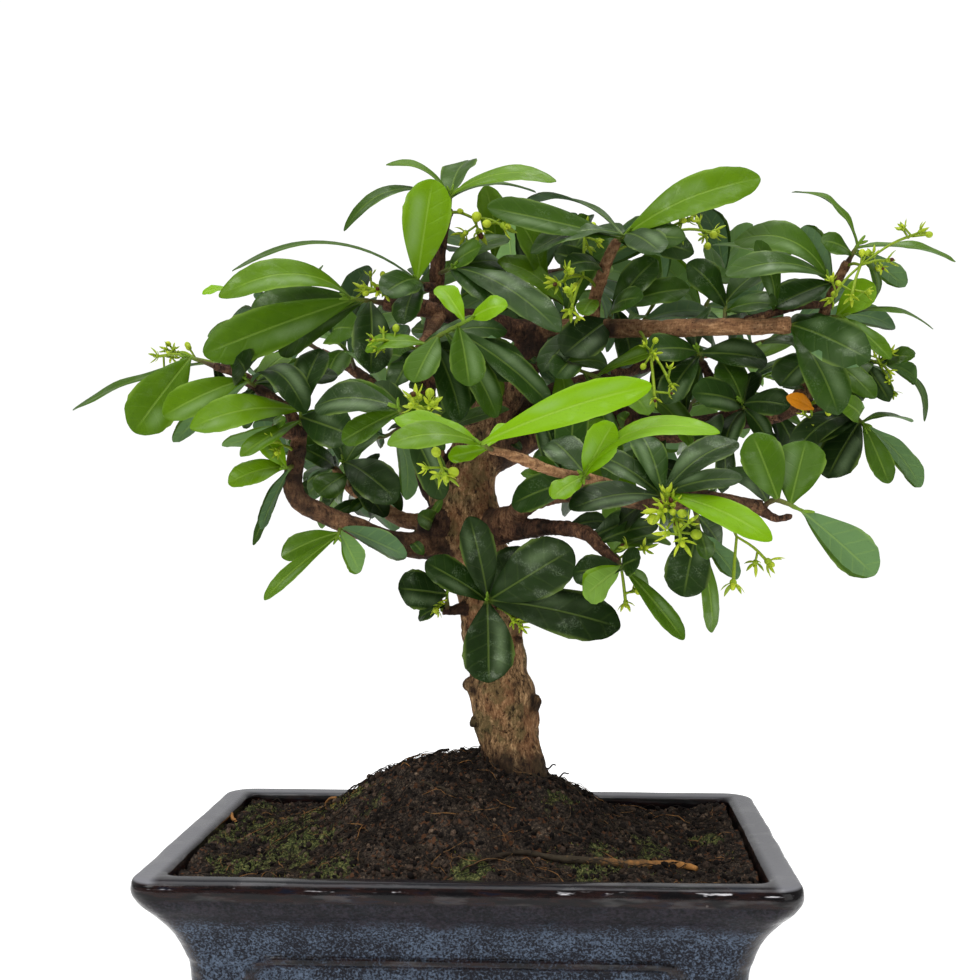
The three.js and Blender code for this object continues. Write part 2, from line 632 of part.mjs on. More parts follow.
function soilHeight(x, y) {
  const across = (x - MOUND_CENTRE[0]) / MOUND_SPREAD[0];
  const back = (y - MOUND_CENTRE[1]) / MOUND_SPREAD[1];
  const mound = MOUND_RISE * Math.exp(-((across * across + back * back) ** 1.15));
  const waves = 0.9 * Math.sin(x / 6.1 + y / 9.3) + 0.7 * Math.sin(x / 11.7 - y / 5.3 + 1.1);
  return SOIL_LEVEL + mound + waves;
}

function makeSoil(holes) {
  const steps = 5;
  const shrink = (scale) =>
    plate(POT_LENGTH / 2 - 11.4 - GAP, POT_WIDTH / 2 - 11.4 - GAP, INNER_CORNER, 0, steps).map((p) => {
      const x = TRUNK_SPOT[0] + (p.x - TRUNK_SPOT[0]) * scale;
      const y = TRUNK_SPOT[1] + (p.y - TRUNK_SPOT[1]) * scale;
      return new THREE.Vector3(x, y, soilHeight(x, y));
    });
  const below = WALL_INSIDE.slice(2)
    .reverse()
    .map(([inset, height]) =>
      plate(
        POT_LENGTH / 2 - inset - GAP,
        POT_WIDTH / 2 - inset - GAP,
        INNER_CORNER,
        height === POT_FLOOR ? height + GAP : height,
        steps,
      ),
    );
  const top = [1, 0.92, 0.8, 0.68, 0.57, 0.46, 0.36, 0.24].map(shrink);
  const peak = [new THREE.Vector3(...TRUNK_SPOT, soilHeight(...TRUNK_SPOT))];
  const pocket = block(
    MESH_LENGTH + 2 * GAP,
    MESH_WIDTH + 2 * GAP,
    0,
    POT_FLOOR + MESH_THICKNESS + 2 * GAP,
  );
  return loft([...below, ...top, peak]).subtract(join([...holes, pocket]));
}

// The surface root lies half sunk in the soil, along its height, and is thickest past its middle
function makeSurfaceRoot(extra) {
  const points = ROOT_WAY.map(([x, y]) => new THREE.Vector3(x, y, soilHeight(x, y)));
  const curve = new THREE.CatmullRomCurve3(points);
  const path = curve.getPoints(2 * (ROOT_WAY.length - 1));
  const radii = path.map((_, k) => {
    const swell = Math.sin(Math.PI * ((k + 0.5) / path.length) ** 1.6);
    return (ROOT_DIAMETER / 2) * (0.4 + 0.6 * swell) + extra;
  });
  return tube(path, radii, 5);
}

// Wood

const woodPaths = Object.entries(WOOD).map(([name, rows]) => ({
  name,
  path: rows.map(sight),
  radii: rows.map((row) => row[3] / 2),
}));
const TRUNK_FOOT = 40;
const trunk = woodPaths[0];
trunk.path[0].setZ(trunk.path[1].z - TRUNK_FOOT);
trunk.path[0].x = trunk.path[1].x;

function woodSides({ radii }) {
  return radii[0] > 7 ? 8 : radii[0] > 3.2 ? 5 : 4;
}

function makeWood(extra) {
  const limbs = woodPaths.map((limb) => {
    const radii = limb.radii.map((r) => r + extra);
    return tube(limb.path, radii, woodSides(limb));
  });
  return join(limbs);
}

// Points at even steps along a path with radii: what leaves have to keep clear of
function markers(path, radii, step, owner) {
  const made = [];
  for (let k = 0; k + 1 < path.length; k++) {
    const count = Math.ceil(path[k].distanceTo(path[k + 1]) / step);
    for (let i = 0; i < count; i++) {
      const share = i / count;
      made.push({
        at: path[k].clone().lerp(path[k + 1], share),
        radius: radii[k] + (radii[k + 1] - radii[k]) * share,
        owner,
        share: 1,
      });
    }
  }
  made.push({ at: path.at(-1).clone(), radius: radii.at(-1), owner, share: 1 });
  return made;
}

const woodMarkers = woodPaths.flatMap(({ path, radii }) => markers(path, radii, 2, "wood"));

function nearestWood(point) {
  const nearer = (a, b) => b.at.distanceTo(point) < a.at.distanceTo(point);
  return woodMarkers.reduce((best, mark) => (nearer(best, mark) ? mark : best)).at;
}

// Leaves

// Half the breadth of a spoon-shaped blade, as a share of its greatest, along its length: it widens
// from the stalk by the first power and closes to a blunt tip by the other two
const WIDENING = 0.85;
const TIP_PLACE = 2.8;
const TIP_BLUNTNESS = 0.62;
const GREATEST_BREADTH = 0.557;
function bladeOutline(t) {
  return (t ** WIDENING * (1 - t ** TIP_PLACE) ** TIP_BLUNTNESS) / GREATEST_BREADTH;
}

// A blade from its root to its tip: face turns its upper side to the eye, arch bends it upwards
function bladeOf(root, tip, width, face, arch) {
  const length = tip.distanceTo(root);
  const along = tip.clone().sub(root).divideScalar(length);
  const toEye = EYE.clone().sub(root.clone().lerp(tip, 0.5)).normalize();
  const facing = toEye.addScaledVector(along, -toEye.dot(along)).normalize();
  const level = new THREE.Vector3().crossVectors(along, facing);
  if (level.z < 0) level.negate();
  const angle = THREE.MathUtils.degToRad(face);
  const normal = facing.clone().multiplyScalar(Math.sin(angle)).addScaledVector(level, Math.cos(angle));
  const side = new THREE.Vector3().crossVectors(normal, along);
  return { root, tip, length, along, facing, normal, side, width, arch };
}

// A point of the blade: t along it, across it as a share of its half breadth, and up off its surface
function bladePoint(blade, t, across, up = 0) {
  const breadth = (blade.width / 2) * bladeOutline(t) * across;
  return blade.root
    .clone()
    .lerp(blade.tip, t)
    .addScaledVector(blade.normal, blade.arch * blade.length * 4 * t * (1 - t) + up)
    .addScaledVector(blade.side, breadth);
}

function bladeMarkers(blade, owner) {
  const made = [];
  for (let k = 2; k <= 10; k++) {
    for (const across of k < 10 ? [-0.9, -0.45, 0, 0.45, 0.9] : [0]) {
      made.push({ at: bladePoint(blade, k / 10, across), radius: 0, owner, share: k / 10 });
    }
  }
  return made;
}

const LAST_LEAF = 0.98;
const NEAR_FROM = 0.4;
const FAR_FROM = 0.22;
const NEAR_ROOT = 0.45;
const ROOT_REACH = 6;

// How far a blade stays off everything placed before it, less than nothing where it cuts in
function clearance(blade, points, placed, owner) {
  let least = Infinity;
  for (const mark of placed) {
    if (mark.owner === owner && mark.share < NEAR_ROOT) continue;
    const carries = mark.owner === "wood" || mark.owner === "stem";
    if (carries && mark.at.distanceTo(blade.root) < mark.radius + ROOT_REACH) continue;
    const spare = carries ? mark.radius + WOOD_GAP - BLADE_GAP : mark.radius;
    for (const point of points) {
      if (mark.owner === owner && point.share < NEAR_ROOT) continue;
      least = Math.min(least, point.at.distanceTo(mark.at) - spare);
    }
  }
  return least;
}

const TURNS = [0, 7, -7, 14, -14, 21, -21, 28, -28, 35, -35];

// Swings a leaf towards the eye or away until it is clear, and drops one that can't be
function settle(root, [tip, width, face, arch], placed, owner) {
  const straight = bladeOf(root, tip, width, face, arch);
  let best = null;
  let bestGap = -Infinity;
  for (const turn of TURNS) {
    const angle = THREE.MathUtils.degToRad(turn);
    const end = root
      .clone()
      .addScaledVector(straight.along, straight.length * Math.cos(angle))
      .addScaledVector(straight.facing, straight.length * Math.sin(angle));
    const blade = bladeOf(root, end, width, face, arch);
    const points = bladeMarkers(blade, owner);
    const gap = clearance(blade, points, placed, owner);
    if (gap > bestGap + 1e-6) {
      best = { blade, points };
      bestGap = gap;
    }
    if (gap >= BLADE_GAP) break;
  }
  return bestGap >= LEAST_BLADE_GAP ? best : null;
}

// The same draw of numbers on every run
function drawer(seed) {
  let state = seed;
  return (low, high) => {
    state = (state * 16807) % 2147483647;
    return low + ((high - low) * state) / 2147483647;
  };
}

const DRAW_STEP = 7919;
const GOLDEN_TURN = THREE.MathUtils.degToRad(137.5);
const END_LEAN = 36;
const TIP_SAG = 3;
const BACK_OF_CROWN = 30;

// Leaves round a far stem, each a golden turn on from the last: their tips lean out from the stem,
// more at its foot than at its end, and their upper sides look up and out of the crown
function whorl(stem, count, draw) {
  return Array.from({ length: count }, (_, k) => {
    const share = (k + 1) / count;
    const root = pathPoint(stem, FAR_FROM + (LAST_LEAF - FAR_FROM) * (k / (count - 1)));
    const along = stem.at(-1).clone().sub(stem[0]).normalize();
    const normal = new THREE.Vector3(0, 0, 1).addScaledVector(along, -along.z).normalize();
    const across = new THREE.Vector3().crossVectors(along, normal);
    const turn = k * GOLDEN_TURN + draw(-0.35, 0.35);
    const lean = THREE.MathUtils.degToRad(draw(62, 84) - END_LEAN * share);
    const reach = draw(27, 40);
    const tip = root
      .clone()
      .addScaledVector(along, reach * Math.cos(lean))
      .addScaledVector(normal, reach * Math.sin(lean) * Math.cos(turn))
      .addScaledVector(across, reach * Math.sin(lean) * Math.sin(turn));
    tip.z -= TIP_SAG;
    const face = (tip.y > BACK_OF_CROWN ? -1 : 1) * draw(20, 65);
    return [tip, reach * draw(0.35, 0.41), face, draw(0.06, 0.18)];
  });
}

function pathPoint(path, share) {
  const lengths = path.slice(1).map((p, k) => p.distanceTo(path[k]));
  let left = share * lengths.reduce((a, b) => a + b, 0);
  for (let k = 0; k < lengths.length; k++) {
    if (left <= lengths[k] || k === lengths.length - 1) {
      return path[k].clone().lerp(path[k + 1], left / lengths[k]);
    }
    left -= lengths[k];
  }
}

// Calyces

function sprayPaths([start, ...ends]) {
  const root = nearestWood(sight(start));
  const calyces = ends.map(sight);
  const middle = calyces.reduce((sum, p) => sum.add(p), new THREE.Vector3()).divideScalar(calyces.length);
  const fork = root.clone().lerp(middle, 0.55).add(new THREE.Vector3(0, 0, 1.5));
  return { root, fork, calyces };
}

// Five narrow sepals round a cup: a star whose points lean forward
function makeCalyx(centre, forward) {
  const side = new THREE.Vector3(0, 0, 1).cross(forward).normalize();
  const up = new THREE.Vector3().crossVectors(forward, side);
  const at = (radius, angle, ahead) =>
    centre
      .clone()
      .addScaledVector(side, radius * Math.cos(angle))
      .addScaledVector(up, radius * Math.sin(angle))
      .addScaledVector(forward, ahead);
  const star = Array.from({ length: 10 }, (_, i) => {
    const angle = (Math.PI * i) / 5;
    return i % 2 ? at(1.3, angle, 0.6) : at(CALYX_RADIUS, angle, 2.6);
  });
  return loft([[at(0, 0, -2)], star, [at(0, 0, 1.6)]]);
}

function makeSpray({ root, fork, calyces }) {
  const stalks = [
    tube([root, fork], [STALK_RADIUS, STALK_RADIUS], 3),
    ...calyces.map((calyx) => tube([fork, calyx], [STALK_RADIUS, STALK_RADIUS * 0.9], 3)),
  ];
  const stars = calyces.map((calyx) => makeCalyx(calyx, calyx.clone().sub(fork).normalize()));
  return join([...stalks, ...stars]);
}

// Blade, in three-sided sections: two sharp margins and the keel of the midrib below
const SMALL_BLADE = 12.2;
const BROAD_BLADE = 14.8;
const FEW_SECTIONS = [0.44, 0.84];
const PETIOLE_HALF = 0.34;

function bladeSections({ width, length }) {
  if (width < SMALL_BLADE || length < 22) return FEW_SECTIONS;
  return width < BROAD_BLADE ? [0.34, 0.66, 0.9] : [0.26, 0.52, 0.78, 0.94];
}

function makeBlade(blade, sections) {
  const root = [1, 0, -1].map((across) =>
    blade.root
      .clone()
      .addScaledVector(blade.side, PETIOLE_HALF * across)
      .addScaledVector(blade.normal, across ? PETIOLE_HALF : -PETIOLE_HALF),
  );
  const rings = sections.map((t) => [
    bladePoint(blade, t, 1),
    bladePoint(blade, t, 0, -BLADE_THICKNESS),
    bladePoint(blade, t, -1),
  ]);
  return loft([root, ...rings, [bladePoint(blade, 1, 0)]]);
}

// Assembly

const bonsai = new THREE.Group();
bonsai.name = "fukien_tea_bonsai";

function addPart(name, solid, material) {
  const mesh = new THREE.Mesh(geometryOf(solid), material);
  mesh.name = name;
  bonsai.add(mesh);
}

const wood = makeWood(0);
const woodRoom = makeWood(GAP);
const buried = trunk.radii.slice(0, 3).map((r) => r + GAP);
const trunkHole = tube(trunk.path.slice(0, 3), buried, woodSides(trunk));
addPart("pot", makePot(), GLAZE);
addPart("drain_mesh", makeDrainMesh(), MESH_PLASTIC);
addPart("soil", mainBody(makeSoil([trunkHole, makeSurfaceRoot(GAP)])), PEAT);
addPart("trunk_and_limbs", wood, BARK);
addPart("surface_root", makeSurfaceRoot(0), ROOT);

const sprays = Object.entries(SPRAYS).map(([name, rows]) => [name, sprayPaths(rows)]);
const near = Object.entries(SHOOTS).map(([name, { stem, from = NEAR_FROM, leaves }]) => ({
  name,
  path: [nearestWood(sight(stem[0])), ...stem.slice(1).map(sight)],
  from,
  leaves: leaves.map(([column, row, depth, ...rest]) => [sight([column, row, depth]), ...rest]),
}));
const far = Object.entries(FAR_SHOOTS).map(([name, { stem, leaves }], index) => {
  const path = [nearestWood(sight(stem[0])), ...stem.slice(1).map(sight)];
  const draw = drawer(DRAW_STEP * (index + 1));
  return { name, path, from: FAR_FROM, plain: true, leaves: whorl(path, leaves, draw) };
});
const shoots = [...near, ...far];

const placed = [...woodMarkers];
for (const { path } of shoots) placed.push(...markers(path, path.map(() => STEM_RADIUS), 2, "stem"));
for (const [name, { root, fork, calyces }] of sprays) {
  placed.push(...markers([root, fork], [STALK_RADIUS, STALK_RADIUS], 3, name + " spray"));
  for (const calyx of calyces) {
    placed.push(...markers([fork, calyx], [STALK_RADIUS, STALK_RADIUS], 3, name + " spray"));
    placed.push({ at: calyx, radius: CALYX_RADIUS * 0.8, owner: name + " spray", share: 1 });
  }
}
for (const { name, path, from, leaves, plain } of shoots) {
  const blades = [];
  leaves.forEach((leaf, k) => {
    const share = from + (LAST_LEAF - from) * (k / (leaves.length - 1));
    const settled = settle(pathPoint(path, share), leaf, placed, name);
    if (!settled) return;
    placed.push(...settled.points);
    blades.push(makeBlade(settled.blade, plain ? FEW_SECTIONS : bladeSections(settled.blade)));
  });
  const stem = tube(path, path.map((_, k) => STEM_RADIUS * (k ? 0.9 : 1)), 4);
  addPart(`shoot_${name}`, mainBody(join([stem, ...blades]).subtract(woodRoom)), LEAF);
}
for (const [name, spray] of sprays) {
  addPart(`calyx_spray_${name}`, mainBody(makeSpray(spray).subtract(woodRoom)), CALYX);
}

// The origin is under the middle of the whole: below it on the standing plane
const whole = new THREE.Box3().setFromObject(bonsai);
bonsai.position.set(-(whole.min.x + whole.max.x) / 2, -(whole.min.y + whole.max.y) / 2, -whole.min.z);

export default bonsai;
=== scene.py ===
"""A fukien tea bonsai in a glazed stoneware pot: the trunk and its pruned limbs, leafy shoots, sprays of
starry calyces, a mound of peat with moss, fibres and sticks, and the speckled blue pot. Most pieces take
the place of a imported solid. Crumbs, fibres, moss, inner leaves and small calyces stand for none. Lengths
are millimetres until a mesh is made."""
import bmesh
import bpy
import math
import mathutils
import numpy as np
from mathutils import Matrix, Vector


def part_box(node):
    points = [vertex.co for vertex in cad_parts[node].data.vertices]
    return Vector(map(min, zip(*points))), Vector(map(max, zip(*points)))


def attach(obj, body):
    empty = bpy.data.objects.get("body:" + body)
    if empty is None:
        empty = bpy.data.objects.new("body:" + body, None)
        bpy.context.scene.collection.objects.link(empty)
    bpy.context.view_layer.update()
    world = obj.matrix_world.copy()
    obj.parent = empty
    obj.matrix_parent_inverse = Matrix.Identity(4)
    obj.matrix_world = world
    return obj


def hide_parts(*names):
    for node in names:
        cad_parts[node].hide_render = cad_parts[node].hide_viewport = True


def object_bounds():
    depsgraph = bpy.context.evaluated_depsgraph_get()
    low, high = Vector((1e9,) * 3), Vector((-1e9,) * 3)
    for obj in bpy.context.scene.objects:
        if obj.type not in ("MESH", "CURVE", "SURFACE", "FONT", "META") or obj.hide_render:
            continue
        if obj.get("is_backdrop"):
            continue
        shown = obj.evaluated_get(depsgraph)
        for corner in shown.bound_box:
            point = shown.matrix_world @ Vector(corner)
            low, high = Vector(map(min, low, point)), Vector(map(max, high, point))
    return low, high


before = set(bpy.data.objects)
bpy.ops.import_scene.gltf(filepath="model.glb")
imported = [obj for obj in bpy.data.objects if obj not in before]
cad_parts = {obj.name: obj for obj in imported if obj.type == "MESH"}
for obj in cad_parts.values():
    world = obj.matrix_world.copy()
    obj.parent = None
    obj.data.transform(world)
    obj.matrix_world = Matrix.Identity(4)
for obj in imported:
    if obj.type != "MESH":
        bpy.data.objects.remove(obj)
cad_box = [list(corner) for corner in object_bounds()]

# Everything is set out from a spot under the middle of the pot
MM = 0.001
POT_LOW, POT_HIGH = (np.array(corner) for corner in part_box("pot"))
MIDDLE = (POT_LOW + POT_HIGH) / 2 * (1, 1, 0)

POT_LENGTH = 204
POT_WIDTH = 150
POT_HEIGHT = 72
FOOT_SPOT = (62, 40)
FOOT_PROFILE = [(8.6, 6.6, 0), (9.6, 7.6, 0.3), (10, 8, 1), (11.4, 9.4, 4), (13, 11, 7)]
DRAIN_RADIUS = 7
DRAIN_SPACING = 90
PANEL_LENGTH = 136
PANEL_WIDTH = 84
PANEL_TOP = 46
PANEL_BOTTOM = 15
PANEL_CORNER = 9
BEAD_WIDTH = 3
BEAD_RISE = 1.1
WALL_OUTSIDE = [
    (19, 6), (16.6, 10), (15.2, 38), (13.6, 45), (10.8, 52), (6.6, 58), (2.6, 62.5), (0.3, 66.5), (0.2, 69.6),
    (1.1, 71.4), (3.4, 72),
]
WALL_INSIDE = [(9.2, 71.4), (10.4, 69), (11.4, 60), (16.5, 50), (20.5, 40), (22.5, 26), (23, 12)]
OUTER_CORNER = 9
INNER_CORNER = 4
OUTSIDE_STEP, INSIDE_STEP = 0.62, 2.4
LIP_ROWS = 12

SOIL_LEVEL = 66.5
SOIL_INSET = 11.7
MOUND_RISE = 32
MOUND_CENTRE = (-4, -2)
MOUND_SPREAD = (49, 44)

STEM_RADIUS = 0.95
STALK_RADIUS = 0.6
CALYX_RADIUS = 4.2
BLADE_GAP = 3
LEAST_BLADE_GAP = 1.9
WOOD_GAP = 1.6
HIDDEN_GAP, LEAST_HIDDEN_GAP = 1.6, 1.0
STOUT_VOXEL, SLIGHT_VOXEL = 0.85, 0.6

INNER_LEAVES = 300
CRUMBS = 8500
FIBRES = 1150
MOSS_TUFTS = 9000

# Each kind of small thing has its own fixed draw of numbers
HIDDEN_SEED, INNER_SEED, CRUMB_SEED, FIBRE_SEED, MOSS_SEED = 19, 23, 71, 83, 97
SHOOT_SEED, SPRAY_SEED, SMALL_SPRAY_SEED = 1000, 2000, 2100
DRAW_STEP = 7919

# The tree is set out as it is seen from the show side: a column and a row of the 980 x 980 view, and a
# depth behind the middle of the pot, along the sight line from the eye
VIEW_MIDDLE = 490
VIEW_FOCAL = 1600
EYE = np.array([32, -548, POT_HEIGHT + 118.7])
VIEW_TURN = math.radians(2.87)
VIEW_PITCH = math.radians(-0.17)
AHEAD = np.array([
    -math.sin(VIEW_TURN) * math.cos(VIEW_PITCH),
    math.cos(VIEW_TURN) * math.cos(VIEW_PITCH),
    math.sin(VIEW_PITCH),
])
RIGHT = np.array([math.cos(VIEW_TURN), math.sin(VIEW_TURN), 0])
UP = np.cross(RIGHT, AHEAD)


def sight(places):
    """Where the sight line through a column and row meets the plane that lies at a depth"""
    places = np.asarray(places, float)
    column, row, depth = places[..., 0, None], places[..., 1, None], places[..., 2]
    ray = AHEAD + RIGHT * (column - VIEW_MIDDLE) / VIEW_FOCAL + UP * (VIEW_MIDDLE - row) / VIEW_FOCAL
    return EYE + ray * ((depth - EYE[1]) / ray[..., 1])[..., None]


# Trunk, limbs and twigs: column, row, depth and diameter along each, from its root outwards
WOOD = {
  "trunk": [
    [511, 800, 0, 24], [511, 772, 0, 22.5], [507, 740, 0, 21], [501, 700, 0, 21.2], [495, 655, 0, 21.4],
    [490, 615, 0, 21], [485, 580, 0, 21], [476, 550, 0, 22], [465, 520, 0, 23], [461, 488, 0, 20],
  ],
  "right_fork": [
    [462, 505, 0, 19], [473, 455, 2, 15.5], [492, 415, 4, 14], [515, 378, 5, 13], [542, 333, 6, 11.5],
  ],
  "left_fork": [
    [452, 508, 2, 13], [431, 466, 6, 10], [424, 420, 8, 8.5], [426, 370, 8, 7.5], [434, 320, 6, 6.2],
    [437, 280, 2, 5.2], [440, 245, 0, 4.6], [449, 207, -2, 3.8],
  ],
  "bar_left": [
    [548, 340, 5, 9.5], [505, 327, 0, 7.6], [460, 317, -8, 6.8], [420, 308, -14, 6], [383, 303, -18, 5],
  ],
  "bar_right": [
    [530, 333, 5, 8.5], [600, 329, -4, 6.4], [660, 328, -12, 6.2], [730, 327, -17, 6],
    [791, 325, -20, 5.2],
  ],
  "right_limb": [
    [485, 455, 3, 13], [545, 428, 8, 11], [610, 418, 12, 10], [680, 430, 10, 9.5], [745, 418, 6, 9],
    [802, 404, 2, 6.5],
  ],
  "right_up": [
    [798, 406, 2, 6], [812, 372, 0, 4.6], [818, 345, -2, 4.2], [823, 318, -4, 4], [834, 290, -6, 3.6],
    [848, 262, -8, 3.2],
  ],
  "low_right": [
    [484, 532, -4, 9], [520, 530, -16, 6.6], [552, 527, -28, 5.6], [585, 533, -38, 4.6],
    [603, 549, -45, 3.6], [617, 562, -50, 3],
  ],
  "front_limb": [
    [484, 524, -4, 9], [512, 515, -16, 6.8], [535, 501, -28, 6.2], [575, 493, -42, 6],
    [640, 500, -55, 5.6], [700, 500, -58, 6.4], [762, 508, -58, 4.6],
  ],
  "front_twig": [
    [640, 500, -55, 4.2], [620, 490, -62, 4], [590, 479, -68, 3.6], [555, 472, -73, 3.4],
    [520, 458, -76, 3.2], [488, 449, -78, 2.8],
  ],
  "left_limb": [
    [462, 548, -2, 11], [425, 546, -8, 9], [392, 541, -14, 8], [358, 528, -20, 7.2], [322, 513, -24, 6.8],
    [300, 501, -26, 6.6], [293, 482, -26, 6.6], [296, 455, -25, 6], [302, 430, -24, 4.8],
  ],
  "left_up": [
    [302, 433, -24, 4.6], [286, 409, -22, 4.2], [262, 391, -20, 4], [240, 375, -18, 3.6],
    [214, 366, -16, 2.8],
  ],
  "left_stub": [[298, 432, -25, 5.4], [274, 427, -30, 4.8]],
  "left_back": [
    [446, 524, 4, 8], [405, 520, 6, 5.5], [375, 502, 10, 4.6], [350, 488, 14, 3.8], [334, 468, 18, 2.8],
  ],
  "knot": [[452, 522, -4, 12], [430, 522, -9, 9]],
  "front_left": [[440, 462, 2, 6.5], [430, 440, -20, 5], [415, 427, -45, 4], [406, 418, -62, 3]],
  "mid_twig": [[442, 313, -10, 4.6], [428, 335, -25, 3.6], [417, 350, -36, 2.8]],
  "leader_spur": [[437, 290, 2, 4], [420, 284, -12, 2.6]],
  "top_spur": [[590, 328, -4, 5.6], [596, 295, -8, 4.6], [607, 262, -12, 4.2], [618, 240, -14, 3.4]],
  "thin_right": [[745, 322, -18, 3.4], [790, 308, -14, 2.8], [826, 304, -6, 2.6]],
  "mid_right": [[742, 416, 6, 5.2], [718, 390, 0, 4], [702, 362, -8, 3]],
  "low_tip": [[756, 507, -58, 3], [776, 519, -60, 2.2], [792, 516, -62, 1.8]],
  "trunk_spur": [[497, 612, -2, 6], [489, 604, -15, 3.2]],
  "low_left_spur": [[488, 604, 0, 7], [462, 609, -8, 4.4], [442, 611, -11, 3.4]],
  "right_reach": [[818, 348, -2, 3.6], [842, 360, 2, 2.8], [862, 362, 4, 2.4]],
  "right_low_reach": [[800, 405, 2, 4.6], [835, 411, 0, 3.4], [856, 418, -4, 2.6]],
  "back_left": [
    [445, 480, 6, 9.5], [425, 440, 26, 7.5], [392, 402, 50, 5.8], [356, 372, 70, 4.4], [322, 352, 84, 3],
  ],
  "back_right": [
    [502, 420, 8, 9.5], [560, 392, 34, 7.5], [622, 372, 54, 6], [684, 358, 72, 4.4], [732, 350, 84, 3],
  ],
  "back_top": [[540, 338, 8, 7.5], [540, 312, 30, 5.6], [544, 290, 50, 4.2], [550, 272, 64, 3]],
  "back_middle": [[470, 458, 8, 9], [482, 424, 38, 6.4], [494, 404, 64, 4.6], [500, 392, 84, 3]],
}

